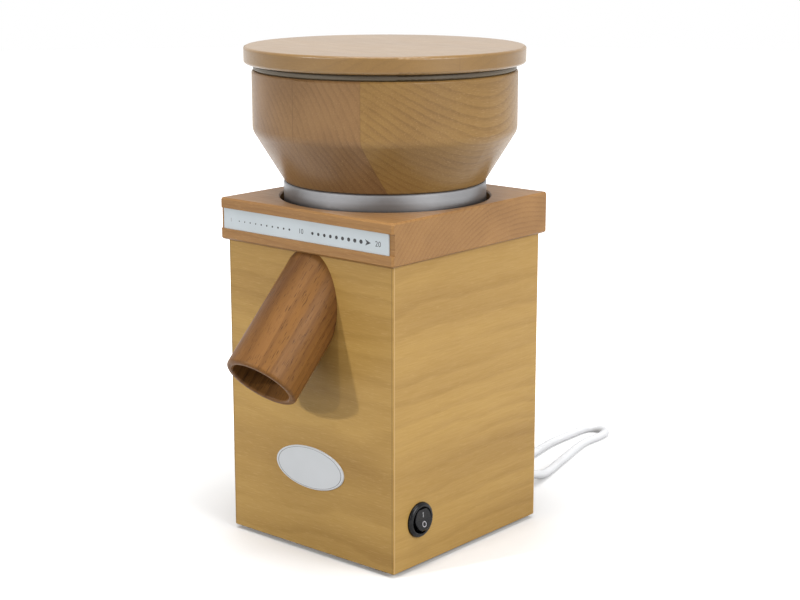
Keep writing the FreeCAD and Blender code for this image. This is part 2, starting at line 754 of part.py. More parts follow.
def rotor():
    """Rotor core with its end rings on the stepped shaft, the two bearings and the fan."""
    ring_low = 78.0
    ring_high = 150.0
    core = turned([
        (JOURNAL_R, STACK_LOW),
        (15.0, STACK_LOW),
        (15.0, ring_low),
        (23.0, ring_low, 1.0),
        (23.0, STACK_LOW),
        (ROTOR_R, STACK_LOW),
        (ROTOR_R, STACK_HIGH),
        (23.0, STACK_HIGH),
        (23.0, ring_high, 1.0),
        (15.0, ring_high),
        (15.0, STACK_HIGH),
        (JOURNAL_R, STACK_HIGH),
    ], flat=True)
    save("rotor_core", core)
    nose_low = 193.0
    save("shaft", turned([
        (0, SHAFT_LOW),
        (NOSE_R, SHAFT_LOW, 0.6),
        (NOSE_R, 54.0),
        (SHAFT_R, 54.0),
        (SHAFT_R, LOWER_BEARING[1] + 0.3),
        (JOURNAL_R, LOWER_BEARING[1] + 0.3),
        (JOURNAL_R, UPPER_BEARING[0] - 0.3),
        (UPPER_SEAT_R, UPPER_BEARING[0] - 0.3),
        (UPPER_SEAT_R, UPPER_BEARING[1] + 0.2),
        (SHAFT_R, UPPER_BEARING[1] + 0.2),
        (SHAFT_R, nose_low),
        (NOSE_R, nose_low),
        (NOSE_R, SHAFT_HIGH, 0.6),
        (0, SHAFT_HIGH),
    ], flat=True))
    save("upper_bearing", bearing(UPPER_SEAT_R + RUNNING_FIT, UPPER_BEARING_R, *UPPER_BEARING))
    save("lower_bearing", bearing(SHAFT_R + RUNNING_FIT, LOWER_BEARING_R, *LOWER_BEARING))

    bore = NOSE_R + 0.05
    low = 44.0
    disc_low = 52.0
    high = 53.6
    hub = turned([(bore, low), (9.0, low), (9.0, disc_low), (FAN_R, disc_low), (FAN_R, high), (bore, high)])
    blade = block((8.0, FAN_R), (-0.8, 0.8), (low, disc_low + 0.5))
    save("cooling_fan", joined([hub] + around(blade, FAN_BLADES)))


def bearing(bore, outer, low, high):
    """A sealed ball bearing: one ring with a sunk seal on each side."""
    inner_rim = bore + 2.2
    outer_rim = outer - 2.2
    return turned([
        (bore, low),
        (inner_rim, low),
        (inner_rim, low + 0.5),
        (outer_rim, low + 0.5),
        (outer_rim, low),
        (outer, low, 0.5),
        (outer, high, 0.5),
        (outer_rim, high),
        (outer_rim, high - 0.5),
        (inner_rim, high - 0.5),
        (inner_rim, high),
        (bore, high),
    ], flat=True)


def electrics():
    """Run capacitor in its clip, terminal block and the inner wires."""
    x = -44.0
    y = 46.5
    can = turned([(0, 88.0), (13.0, 88.0, 2.0), (13.0, 142.0, 2.0), (0, 142.0)], flat=True)
    tabs = [block((dx - 0.4, dx + 0.4), (-3.0, 3.0), (141.0, 149.0)) for dx in (-4.0, 4.0)]
    can = joined([can] + tabs)
    can.translate(V(x, y, 0))
    save("capacitor", can)
    band = upright(14.1, 108.0, 120.0, x, y).cut(upright(13.1, 107.0, 121.0, x, y))
    tab = block((-INNER_X, -INNER_X + 1.2), (22.0, y), (108.0, 120.0))
    tab = tab.cut(upright(13.1, 107.0, 121.0, x, y)).cut(rod(1.9, (-60, 28.0, 114.0), (-50, 28.0, 114.0)))
    save("capacitor_clip", joined([band, tab]))

    body = block((20.0, 40.0), (29.0, 44.0), (BASE_HIGH, BASE_HIGH + 12.0))
    body = body.makeChamfer(1.0, [e for e in body.Edges if e.BoundBox.ZMin > BASE_HIGH + 11.9])
    for dx in (24.0, 30.0, 36.0):
        body = body.cut(upright(1.9, BASE_HIGH + 6.0, 30.0, dx, 36.5))
    save("terminal_block", body)

    lead = rod(CORD_R, (OUTLET_X, 44.0, OUTLET_Z), (OUTLET_X, BACK - RELIEF_INSIDE, OUTLET_Z))
    routes = (LIVE_WIRE, SWITCHED_WIRE, NEUTRAL_WIRE, CAPACITOR_WIRE)
    save("inner_wires", group([lead] + [tube(route_wire(route), WIRE_R) for route in routes]))


def switch():
    """Round rocker switch: bezel and barrel, rocker tilted on its cross pin, and the blade terminals."""
    shell = turned([
        (0, -BARREL_LONG),
        (BARREL_R, -BARREL_LONG, 0.8),
        (BARREL_R, 0),
        (BEZEL_R, 0),
        (BEZEL_R, BEZEL_PROUD, 2.2),
        (CAVITY_R, BEZEL_PROUD, 0.4),
        (CAVITY_R, -CAVITY_DEEP),
        (0, -CAVITY_DEEP),
    ])
    hole_end = CAVITY_R + 0.6
    shell = shell.cut(rod(ROCKER_PIN_R + 0.05, (0, -hole_end, ROCKER_PIN), (0, hole_end, ROCKER_PIN)))

    over = 9.0
    rocker = rod(ROCKER_R, (0, 0, -over), (0, 0, over))
    swing = rod(ROCKER_SWING, (0, -over, ROCKER_PIN), (0, over, ROCKER_PIN))
    edge = ROCKER_FACE + ROCKER_DISH
    dished = [(-over, -ROCKER_DEPTH), (over, -ROCKER_DEPTH), (over, edge), (0, ROCKER_FACE), (-over, edge)]
    side = prism([(across, -over, out) for across, out in dished], (0, 2 * over, 0))
    rocker = rocker.common(swing).common(side)
    rims = [e for e in rocker.Edges if e.BoundBox.ZMin > 0 and e.BoundBox.XLength > 1 and e.BoundBox.ZLength > 0.1]
    rocker = rocker.makeChamfer(ROCKER_EDGE, rims)
    stub_end = CAVITY_R + 0.5
    stub = rod(ROCKER_PIN_R, (0, -stub_end, ROCKER_PIN), (0, stub_end, ROCKER_PIN))
    rocker = joined([rocker, stub])
    rocker.rotate(V(0, 0, ROCKER_PIN), V(0, 1, 0), -ROCKER_TILT)

    tabs = [block((x - 0.4, x + 0.4), (-3.15, 3.15), (-BARREL_LONG - 8.6, -BARREL_LONG + 0.4)) for x in (-4.5, 4.5)]
    placed = []
    for shape in (shell, rocker, group(tabs)):
        shape.rotate(V(0, 0, 0), V(0, 1, 0), 90)
        shape.translate(V(SIDE, SWITCH_Y, SWITCH_Z))
        placed.append(shape)
    save("switch_body", placed[0])
    save("switch_rocker", placed[1])
    save("switch_terminals", placed[2].cut(placed[0]))


def hopper():
    """Bowl and collar with what hangs under them. They turn together."""
    inner = BOWL_R - BOWL_WALL
    bowl = turned([
        (THROAT_R, BOWL_LOW),
        (BOWL_FOOT_R, BOWL_LOW, 2.5),
        (BOWL_R, BOWL_KNEE, 9.0),
        (BOWL_R, BOWL_TOP, 1.4),
        (inner, BOWL_TOP, 1.4),
        (inner, 272.0, 10.0),
    ])
    for hole in around(upright(SCREW_HOLE, BOWL_LOW - 1, BOWL_LOW + 12.5, COLLAR_SCREW_CIRCLE), 4, 45):
        bowl = bowl.cut(hole)
    save("hopper_bowl", bowl)

    web = BOWL_LOW - 4.0
    skirt = COLLAR_R - 3.5
    collar = turned([
        (THROAT_R + 3.0, BOWL_LOW),
        (COLLAR_R, BOWL_LOW, 0.6),
        (COLLAR_R, COLLAR_LOW, 0.6),
        (skirt, COLLAR_LOW),
        (skirt, web),
        (THREAD_R, web),
        (THREAD_R, THREAD_LOW, 0.8),
        (47.0, THREAD_LOW),
        (47.0, CARRIER_SEAT),
        (38.0, CARRIER_SEAT),
        (38.0, web),
        (THROAT_R + 3.0, web),
    ], flat=True)
    for hole in around(upright(SCREW_HOLE, web - 1, BOWL_LOW + 1, COLLAR_SCREW_CIRCLE), 4, 45):
        collar = collar.cut(hole)
    for hole in around(upright(1.65, CARRIER_SEAT - 1, 230.0, CARRIER_SCREW_CIRCLE), 3, 30):
        collar = collar.cut(hole)
    save("collar_ring", collar)
    head = upright(3.4, web - 2.2, web, COLLAR_SCREW_CIRCLE)
    shank = upright(SCREW_R, web - 1, BOWL_LOW + 12.0, COLLAR_SCREW_CIRCLE)
    save("collar_screws", group(around(joined([head, shank]), 4, 45)))
    stone_holder()


def stone_holder():
    """Carrier ring under the collar with the fixed upper stone, its screws and the cone that feeds it."""
    stone_low = LOWER_STONE_Z + STONE_THICK + STONE_GAP
    stone_top = CARRIER_SEAT - CARRIER_THICK
    bore = FURROW_START
    ring = (upright(46.8, stone_top, CARRIER_SEAT), upright(bore, stone_top - 1, CARRIER_SEAT + 1))
    carrier = ring[0].cut(ring[1])
    for hole in around(upright(SCREW_HOLE, stone_top - 1, CARRIER_SEAT + 1, CARRIER_SCREW_CIRCLE), 3, 30):
        carrier = carrier.cut(hole)
    save("stone_carrier", carrier)
    head_low = stone_top - 2.0
    head = upright(3.0, head_low, stone_top, CARRIER_SCREW_CIRCLE)
    shank = upright(1.6, head_low + 1, 229.0, CARRIER_SCREW_CIRCLE)
    save("carrier_screws", group(around(joined([head, shank]), 3, 30)))
    cone = turned([
        (THROAT_R + 2.6, BOWL_LOW - 0.05),
        (THROAT_R, BOWL_LOW - 0.05),
        (EYE_R, 217.0, 3.0),
        (EYE_R, stone_top),
        (bore - 0.1, stone_top),
        (bore - 0.1, CARRIER_SEAT + 0.1),
        (THROAT_R + 2.6, BOWL_LOW - 1.5),
    ], flat=True)
    save("feed_cone", cone)

    stone = turned([
        (EYE_R, stone_top),
        (STONE_R, stone_top),
        (STONE_R, stone_low, 0.8),
        (26.0, stone_low),
        (EYE_R, stone_low + 6.5),
    ], flat=True)
    for bar in around(furrow(stone_low, False), FURROWS):
        stone = stone.cut(bar)
    for pocket in around(upright(3.3, head_low - 0.5, stone_top + 1, CARRIER_SCREW_CIRCLE), 3, 30):
        stone = stone.cut(pocket)
    save("upper_stone", stone)


def pressure_pins():
    """Sprung pins in the chamber's flange that press up on the collar and take out the thread's play."""
    low = SHOULDER_Z - 9.0
    high = low + 6.4
    head = upright(2.9, high, high + 1.2, PIN_CIRCLE)
    stem = upright(1.6, high, COLLAR_LOW - 0.02, PIN_CIRCLE)
    save("pressure_pins", group(around(joined([head, stem]), PINS, 90)))
    spring = upright(2.9, low, high, PIN_CIRCLE).cut(upright(2.1, low - 1, high + 1, PIN_CIRCLE))
    save("pin_springs", group(around(spring, PINS, 90)))


def lid():
    """Loose lid: a turned disc on a darker disc that drops into the bowl's mouth."""
    save("lid_disc", turned([(0, LID_LOW), (LID_R, LID_LOW, 1.8), (LID_R, LID_TOP, 1.8), (0, LID_TOP)]))
    inner = BOWL_R - BOWL_WALL - 0.6
    save("lid_plug", turned([
        (0, BOWL_TOP - LID_PLUG_DEEP),
        (inner, BOWL_TOP - LID_PLUG_DEEP, 1.0),
        (inner, BOWL_TOP),
        (LID_PLUG_R, BOWL_TOP, LID_PLUG_ROUND),
        (LID_PLUG_R, LID_LOW, LID_PLUG_ROUND),
        (0, LID_LOW),
    ]))


def coil_point(angle):
    """Centre of the coiled cord after turning through an angle: in along the floor, up a layer, and out."""
    way_in = 2 * math.pi * COIL_TURNS
    per_radian = COIL_PITCH / (2 * math.pi)
    inner = COIL_R - COIL_PITCH * COIL_TURNS
    climb = min(max(angle - way_in, 0.0), math.pi)
    if angle < way_in:
        radius = COIL_R - per_radian * angle
    elif angle < way_in + math.pi:
        radius = inner - per_radian * climb * (math.pi - climb) / math.pi
    else:
        radius = inner + per_radian * (angle - way_in - math.pi)
    height = COIL_Z + COIL_PITCH * (1 - math.cos(climb)) / 2
    return V(COIL_X + radius * math.cos(angle), COIL_Y - radius * math.sin(angle), height)


def coil_heading(angle):
    """Direction of the coiled cord at an angle."""
    small = 1e-4
    ahead = coil_point(angle + small)
    behind = coil_point(angle - small)
    return (ahead - behind).normalize()


def half_arc(start, corner, end):
    """An arc that leaves its start towards a corner and arrives at its end from it."""
    reach = (corner - start).Length
    toward = ((start + end) * 0.5 - corner).normalize()
    turn = (corner - start).getAngle(end - corner)
    radius = reach / math.tan(turn / 2)
    middle = corner + toward * (radius / math.cos(turn / 2) - radius)
    return Part.Arc(start, middle, end).toShape()


def biarc(start, heading, end, arrival):
    """Two arcs that join two points with given directions."""
    gap = end - start
    both = heading + arrival
    a = 2 * (1 - heading.dot(arrival))
    b = 2 * gap.dot(both)
    reach = (-b + math.sqrt(b * b + 4 * a * gap.dot(gap))) / (2 * a)
    first = start + heading * reach
    second = end - arrival * reach
    middle = (first + second) * 0.5
    return [half_arc(start, first, middle), half_arc(middle, second, end)]


def coil_wire():
    """The put-away cord: biarcs of a quarter turn between straight ends, in line with the cord and the plug."""
    quarters = round((2 * COIL_TURNS + 0.5) * 4)
    turns = [coil_point(i * math.pi / 2) for i in range(quarters + 1)]
    headings = [coil_heading(i * math.pi / 2) for i in range(quarters + 1)]
    headings[0] = V(0, -1, 0)
    headings[-1] = V(0, 1, 0)
    start = turns[0] - headings[0] * CORD_D
    end = turns[-1] + headings[-1] * CORD_D * 2
    edges = [Part.LineSegment(start, turns[0]).toShape()]
    for i in range(quarters):
        edges += biarc(turns[i], headings[i], turns[i + 1], headings[i + 1])
    edges.append(Part.LineSegment(turns[-1], end).toShape())
    return Part.Wire(edges), start, end


def report_self_gap(wire):
    """Print the least gap between turns of the coiled tube."""
    step = 2.0
    points = wire.discretize(Distance=step)
    apart = round(60.0 / step)
    least = min(
        (points[i] - points[j]).Length
        for i in range(len(points))
        for j in range(i + apart, len(points))
    )
    print(f"coil: length {wire.Length:.0f} mm, least gap to itself {least - CORD_D:.2f} mm")


def cord():
    """Strain relief, free cord, coil with its tie, and the plug lying on its back."""
    relief = turned([
        (0, -RELIEF_INSIDE),
        (5.4, -RELIEF_INSIDE),
        (5.4, 0),
        (7.8, 0),
        (7.8, 2.2, 1.0),
        (5.6, 3.4, 1.0),
        (3.9, RELIEF_END - BACK, 0.6),
        (0, RELIEF_END - BACK),
    ], flat=True)
    relief.rotate(V(0, 0, 0), V(1, 0, 0), -90)
    relief.translate(V(OUTLET_X, BACK, OUTLET_Z))
    save("strain_relief", relief)

    free = route_wire(CORD_ROUTE)
    save("cord", tube(free, CORD_R))
    coil, start, end = coil_wire()
    report_self_gap(coil)
    save("cord_coil", tube(coil, CORD_R))
    print(f"cord: whole length {free.Length + coil.Length:.0f} mm, coil from {start} to {end}")
    cord_tie()
    plug(end)


def cord_tie():
    """A flat band round the coiled turns."""
    slack = 0.25
    thick = 0.7
    first = math.radians(TIE_ANGLE)
    turns = [coil_point(first + 2 * math.pi * i) for i in range(6)]
    spans = [math.hypot(p.x - COIL_X, p.y - COIL_Y) for p in turns]
    low_r = min(spans) - CORD_R - 1.2
    high_r = max(spans) + CORD_R + 0.9
    low_z = COIL_Z - CORD_R - slack
    high_z = COIL_Z + COIL_PITCH + CORD_R + slack
    loops = []
    for grow in (thick, 0.0):
        left = low_r - grow
        right = high_r + grow
        corners = [(left, low_z - grow), (right, low_z - grow), (right, high_z + grow), (left, high_z + grow)]
        outline = rounded_wire([(V(r, -TIE_WIDE / 2, z), 2.0 + grow) for r, z in corners], True)
        loops.append(Part.Face(outline).extrude(V(0, TIE_WIDE, 0)))
    band = loops[0].cut(loops[1])
    band.rotate(V(0, 0, 0), Z_AXIS, -TIE_ANGLE)
    band.translate(V(COIL_X, COIL_Y, 0))
    save("cord_tie", band)


def plug(end):
    """Round plug with a side entry, standing on its back, and its sleeve along the cord."""
    x = end.x
    y = end.y + PLUG_SLEEVE + PLUG_R - 2.0
    body = turned([
        (0, 0.05),
        (PLUG_R - 3.5, 0.05, 2.0),
        (PLUG_R, 6.0, 2.0),
        (PLUG_R, PLUG_TALL, 1.0),
        (0, PLUG_TALL),
    ])
    for side in (-1, 1):
        groove = block((-2.5, 2.5), (-4, 4), (8.0, PLUG_TALL + 1))
        groove.translate(V(side * (PLUG_R + 2.2), 0, 0))
        body = body.cut(groove)
    body = body.cut(upright(2.6, PLUG_TALL - 12, PLUG_TALL + 1, 10.0, 0))
    body.translate(V(x, y, 0))
    sleeve = turned([(0, 0), (4.2, 0, 0.8), (6.8, PLUG_SLEEVE), (0, PLUG_SLEEVE)], flat=True)
    sleeve.rotate(V(0, 0, 0), V(1, 0, 0), -90)
    sleeve.translate(end)
    root = PLUG_TALL - 6
    tip = PLUG_TALL + 19
    pin = turned([(0, root), (2.4, root), (2.4, tip, 1.2), (0, tip)], flat=True)
    pins = []
    for offset in (-9.5, 9.5):
        copy = pin.copy()
        copy.translate(V(x, y + offset, 0))
        pins.append(copy)
    save("plug_body", joined([body, sleeve]).cut(group(pins)))
    save("plug_pins", group(pins))


def main():
    """Build every piece."""
    os.makedirs("parts", exist_ok=True)
    panels()
    cap_board()
    name_plate()
    spout()
    blocks()
    base()
    feet()
    milling_chamber()
    running_stone()
    motor()
    electrics()
    switch()
    hopper()
    pressure_pins()
    lid()
    cord()


main()
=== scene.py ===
"""The looks of an electric stone grain mill: finishes, printed marks, cord, floor, light and camera.

Lengths are in metres unless a class says otherwise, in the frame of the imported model: origin on the
table under the milling axis, +Z up, -Y the front with the spout, +X the side with the switch.
"""

import logging
import math
from collections.abc import Sequence
from dataclasses import dataclass
from enum import Enum
from functools import cache
from typing import Any, ClassVar, Protocol

import bmesh
import bpy
from mathutils import Euler, Matrix, Vector


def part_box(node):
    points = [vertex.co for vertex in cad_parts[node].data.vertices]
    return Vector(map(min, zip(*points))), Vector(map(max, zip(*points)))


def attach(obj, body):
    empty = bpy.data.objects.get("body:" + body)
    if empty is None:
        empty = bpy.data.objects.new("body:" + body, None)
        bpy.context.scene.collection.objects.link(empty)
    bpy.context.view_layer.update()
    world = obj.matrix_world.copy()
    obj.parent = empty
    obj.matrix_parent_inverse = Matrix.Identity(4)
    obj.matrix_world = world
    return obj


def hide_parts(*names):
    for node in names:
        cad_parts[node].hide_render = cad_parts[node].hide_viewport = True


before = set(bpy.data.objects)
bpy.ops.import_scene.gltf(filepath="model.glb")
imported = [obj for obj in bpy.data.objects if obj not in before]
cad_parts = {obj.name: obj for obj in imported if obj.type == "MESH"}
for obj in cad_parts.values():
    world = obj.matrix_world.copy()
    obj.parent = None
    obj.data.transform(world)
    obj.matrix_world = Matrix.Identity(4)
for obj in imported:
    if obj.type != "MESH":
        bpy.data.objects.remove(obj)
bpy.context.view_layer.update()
MM = 0.001

# Edges that turn by more than this are drawn sharp.
SHARP_ANGLE = math.radians(32)
# Corners nearer than this are one corner.
WELD = 0.001 * MM
# One part in this many of a printed mark's height lies below the surface.
SUNK_PART = 3
# Most of a soft noise lies in this range.
USUAL = (0.3, 0.7)
WHITE_LIGHT = (1.0, 1.0, 1.0, 1.0)

log = logging.getLogger("grain_mill")

Shade = tuple[int, int, int]
Profile = Sequence[tuple[float, float]]
Range = tuple[float, float]
Stretch = tuple[float, float, float]


def linear(shade: Shade) -> tuple[float, float, float, float]:
    """A colour for a shader socket.

    Args:
        shade: red, green and blue as a picture shows them, 0 to 255.

    Returns:
        The same colour in linear light, with full alpha.
    """
    channels = []
    for level in shade:
        share = level / 255
        channels.append(share / 12.92 if share <= 0.04045 else ((share + 0.055) / 1.055) ** 2.4)
    return (*channels, 1.0)


class Graph:
    """One material's node tree, built from its coordinates to its shader."""

    def __init__(self, name: str) -> None:
        """Start a material.

        Args:
            name: the material's name.
        """
        self.material = bpy.data.materials.new(name)
        self.material.use_nodes = True
        self.tree = self.material.node_tree
        self.shader = self.tree.nodes["Principled BSDF"]
        self.place = self.node("TexCoord").outputs["Object"]

    def node(self, kind: str, inputs: dict[Any, Any] | None = None, **settings: Any) -> bpy.types.Node:
        """Add one node.

        Args:
            kind: the node's type after the word ShaderNode.
            inputs: values or sockets by input name or number.
            settings: the node's own properties.

        Returns:
            The new node.
        """
        made = self.tree.nodes.new("ShaderNode" + kind)
        for key, value in settings.items():
            setattr(made, key, value)
        for key, value in (inputs or {}).items():
            self.feed(made.inputs[key], value)
        return made

    def feed(self, socket: bpy.types.NodeSocket, value: Any) -> None:
        """Link a socket into another, or set its value.

        Args:
            socket: the input that is fed.
            value: another node's output, or a plain value.
        """
        if isinstance(value, bpy.types.NodeSocket):
            self.tree.links.new(value, socket)
        else:
            socket.default_value = value

    def math(self, operation: str, first: Any, second: Any = 0.0) -> bpy.types.NodeSocket:
        """The result of an operation on one or two numbers."""
        return self.node("Math", {0: first, 1: second}, operation=operation).outputs[0]

    def mix(self, share: Any, first: Any, second: Any) -> bpy.types.NodeSocket:
        """A blend of two colours.

        Args:
            share: how much of the second there is, 0 to 1.
            first: the first colour.
            second: the second colour.

        Returns:
            The blend.
        """
        made = self.node("Mix", data_type="RGBA")
        self.feed(made.inputs[0], share)
        self.feed(made.inputs[6], first)
        self.feed(made.inputs[7], second)
        return made.outputs[2]

    def spread(
        self, value: Any, low: float, high: float, start: float = 0.0, end: float = 1.0
    ) -> bpy.types.NodeSocket:
        """A number carried from one range to another and held inside it."""
        numbers = {"Value": value, "From Min": low, "From Max": high, "To Min": start, "To Max": end}
        return self.node("MapRange", numbers, clamp=True).outputs[0]

    def curve(self, value: Any, stops: Sequence[Range]) -> bpy.types.NodeSocket:
        """A number read off a line through a few stops.

        Args:
            value: where to read, 0 to 1.
            stops: pairs of place and level.

        Returns:
            The level at that place.
        """
        made = self.node("ValToRGB", {"Fac": value})
        points = made.color_ramp.elements
        while len(points) < len(stops):
            points.new(0.5)
        for point, (place, level) in zip(points, stops):
            point.position = place
            point.color = (level, level, level, 1.0)
        return made.outputs[0]

    def split(self, vector: bpy.types.NodeSocket) -> tuple[bpy.types.NodeSocket, ...]:
        """The three numbers of a vector."""
        made = self.node("SeparateXYZ", {0: vector})
        return made.outputs[0], made.outputs[1], made.outputs[2]

    def joined(self, x: Any, y: Any, z: Any) -> bpy.types.NodeSocket:
        """A vector from three numbers."""
        return self.node("CombineXYZ", {0: x, 1: y, 2: z}).outputs[0]

    def scaled(self, vector: Any, scale: tuple[float, float, float]) -> bpy.types.NodeSocket:
        """A vector stretched along its own directions."""
        return self.node("Mapping", {"Vector": vector, "Scale": scale}).outputs[0]

    def noise(self, vector: Any, scale: float = 1.0, detail: float = 2.0) -> bpy.types.NodeSocket:
        """Soft random numbers about 0.5."""
        return self.node("TexNoise", {"Vector": vector, "Scale": scale, "Detail": detail}).outputs[0]

    def finish(self, colour: Any, roughness: Any, height: Any = None, relief: float = 0.0) -> None:
        """Feed the shader.

        Args:
            colour: the base colour.
            roughness: the roughness.
            height: a number from 0 to 1 that the surface rises and falls with, if any.
            relief: how far it rises, in metres.
        """
        self.feed(self.shader.inputs["Base Color"], colour)
        self.feed(self.shader.inputs["Roughness"], roughness)
        if height is not None:
            bump = self.node("Bump", {"Height": height, "Distance": relief, "Strength": 1.0})
            self.feed(self.shader.inputs["Normal"], bump.outputs[0])


class Finish(Protocol):
    """Anything that can make its own material."""

    def material(self) -> bpy.types.Material:
        """The material for a piece with this finish."""


class Grain(Enum):
    """The way the fibres run, as the turn that brings them to the pattern's own X."""

    ALONG_X = (0.0, 0.0, 0.0)
    ALONG_Y = (0.0, 0.0, math.radians(-90))
    ALONG_Z = (0.0, math.radians(90), 0.0)
    DOWN_SPOUT = (math.radians(-45), 0.0, math.radians(90))


@dataclass(frozen=True)
class Wood:
    """Oiled solid wood, with year rings that run right through the piece.

    Rings are round the tree's heart line, which lies along the fibres. A glued block has strips of
    one width, and every second strip has the other heart.
    """

    name: str
    pale: Shade
    deep: Shade
    fleck: Shade
    grain: Grain
    hearts: tuple[tuple[float, float], tuple[float, float]]
    ring: float
    wave: float
    contrast: float
    broad: float
    flecked: float = 0.5
    strip: float = 0.0
    strip_edge: float = 0.0
    gloss: float = 0.45
    coat: float = 0.1
    shine: float = 0.25
    # Colours of every second strip; on the bowl these hold painted side light as well as the strip's own
    # tone.
    odd_pale_and_side_light: Shade | None = None
    odd_deep_and_side_light: Shade | None = None
    # Lines at a distance from the middle along one axis: joint lines, and painted highlight and painted shade
    # along rounded corners.
    seams_and_edge_light: tuple[tuple[int, float, float, Shade], ...] = ()

    WARP: ClassVar[Stretch] = (9.0, 22.0, 22.0)
    FADING: ClassVar[Stretch] = (7.0, 40.0, 40.0)
    FADED_FROM: ClassVar[Range] = (0.3, 0.65)
    FADED_TO: ClassVar[Range] = (0.25, 1.0)
    BANDS: ClassVar[Stretch] = (3.5, 26.0, 26.0)
    BAND_RANGE: ClassVar[Range] = (0.32, 0.68)
    FIBRES: ClassVar[Stretch] = (70.0, 1500.0, 1500.0)
    FIBRE_DEPTH: ClassVar[float] = 0.5
    FLECKS: ClassVar[Stretch] = (170.0, 1900.0, 1900.0)
    FLECK_RANGE: ClassVar[Range] = (0.62, 0.7)
    RING_STOPS: ClassVar[tuple[Range, ...]] = ((0.0, 0.1), (0.5, 0.3), (0.84, 1.0), (0.93, 0.7), (1.0, 0.1))
    GLUE_HALF: ClassVar[float] = 0.25 * MM
    GLUE_DEPTH: ClassVar[float] = 0.5
    LINE_CORE: ClassVar[float] = 0.4
    LINE_DEPTH: ClassVar[float] = 0.75
    SMOOTHER: ClassVar[float] = 0.06
    ROUGHER: ClassVar[float] = 0.1
    FIBRE_RISE: ClassVar[float] = 0.7
    RING_RISE: ClassVar[float] = 0.3
    RELIEF: ClassVar[float] = 0.03 * MM
    COAT_ROUGH: ClassVar[float] = 0.28

    def strips(self, g: Graph, across: bpy.types.NodeSocket) -> tuple[Any, Any, Any, Any, Any]:
        """The heart of the strip that a point lies in.

        Args:
            g: the material's graph.
            across: the point's place across the strips.

        Returns:
            The heart's two places, a random number for the strip, the share of glue line, and 1 on
            every second strip.
        """
        if not self.strip:
            return self.hearts[0][0], self.hearts[0][1], 0.0, 0.0, 0.0
        count = g.math("DIVIDE", g.math("SUBTRACT", across, self.strip_edge), self.strip)
        index = g.math("FLOOR", count)
        odd = g.math("FLOORED_MODULO", index, 2.0)
        places = []
        for even_place, odd_place in zip(*self.hearts):
            places.append(g.math("ADD", g.math("MULTIPLY", odd, odd_place - even_place), even_place))
        chance = g.node("TexWhiteNoise", {"W": index}, noise_dimensions="1D").outputs["Value"]
        to_edge = g.math("PINGPONG", g.math("SUBTRACT", count, index), 0.5)
        glue = g.spread(to_edge, 0.0, self.GLUE_HALF / self.strip, 1.0, 0.0)
        return places[0], places[1], chance, glue, odd

    @cache
    def material(self) -> bpy.types.Material:
        """Mix rings, broad bands, fibres, flecks, glue lines, joint lines and painted edge light, with a
        little relief.

        Returns:
            The wood's material.
        """
        g = Graph(self.name)
        board = g.node("Mapping", {"Vector": g.place, "Rotation": self.grain.value}).outputs[0]
        along, across, up = g.split(board)
        heart_across, heart_up, chance, glue, odd = self.strips(g, across)
        along = g.math("ADD", along, chance)
        shifted = g.joined(along, across, up)
        reach = g.joined(0.0, g.math("SUBTRACT", across, heart_across), g.math("SUBTRACT", up, heart_up))
        radius = g.node("VectorMath", {0: reach}, operation="LENGTH").outputs["Value"]
        warp = g.noise(g.scaled(shifted, self.WARP), detail=3.0)
        bent = g.math("ADD", radius, g.math("MULTIPLY", warp, self.wave))
        turn = g.math("FRACT", g.math("DIVIDE", bent, self.ring))
        late = g.curve(turn, self.RING_STOPS)
        faded = g.spread(g.noise(g.scaled(shifted, self.FADING)), *self.FADED_FROM, *self.FADED_TO)
        ringed = g.math("MULTIPLY", g.math("MULTIPLY", late, faded), self.contrast)
        bands = g.spread(g.noise(g.scaled(shifted, self.BANDS), detail=3.0), *self.BAND_RANGE)
        fibres = g.noise(g.scaled(shifted, self.FIBRES), detail=3.0)
        depth = g.math("ADD", ringed, g.math("MULTIPLY", bands, self.broad))
        depth = g.math("ADD", depth, g.math("MULTIPLY", g.math("SUBTRACT", fibres, 0.5), self.FIBRE_DEPTH))
        # Every second strip takes its own colours, which on the bowl include painted side light.
        pale = g.mix(odd, linear(self.pale), linear(self.odd_pale_and_side_light or self.pale))
        deep = g.mix(odd, linear(self.deep), linear(self.odd_deep_and_side_light or self.deep))
        colour = g.mix(g.spread(depth, 0.0, 1.0), pale, deep)
        short = g.noise(g.scaled(shifted, self.FLECKS), detail=1.0)
        flecks = g.math("MULTIPLY", g.spread(short, *self.FLECK_RANGE), self.flecked)
        colour = g.mix(flecks, colour, linear(self.fleck))
        colour = g.mix(g.math("MULTIPLY", glue, self.GLUE_DEPTH), colour, linear(self.deep))
        # Draw the joint lines, and the painted highlight and painted shade along rounded corners.
        for axis, place, width, shade in self.seams_and_edge_light:
            away = g.math("SUBTRACT", g.math("ABSOLUTE", g.split(g.place)[axis]), place)
            line = g.spread(g.math("ABSOLUTE", away), width * self.LINE_CORE, width, self.LINE_DEPTH, 0.0)
            colour = g.mix(line, colour, linear(shade))
        roughness = g.spread(fibres, *USUAL, self.gloss - self.SMOOTHER, self.gloss + self.ROUGHER)
        fibre_rise = g.math("MULTIPLY", fibres, self.FIBRE_RISE)
        height = g.math("ADD", fibre_rise, g.math("MULTIPLY", late, self.RING_RISE))
        g.finish(colour, roughness, height, self.RELIEF)
        g.shader.inputs["Specular IOR Level"].default_value = self.shine
        g.shader.inputs["Coat Weight"].default_value = self.coat
        g.shader.inputs["Coat Roughness"].default_value = self.COAT_ROUGH
        return g.material


class Marks(Enum):
    """What the maker's tools left on a metal surface."""

    TURNED = "rings about the milling axis"
    BRUSHED = "straight lines along X"
    CAST = "a sand cast skin"
    STACKED = "edges of thin sheets"
    PLAIN = "faint drawing lines"


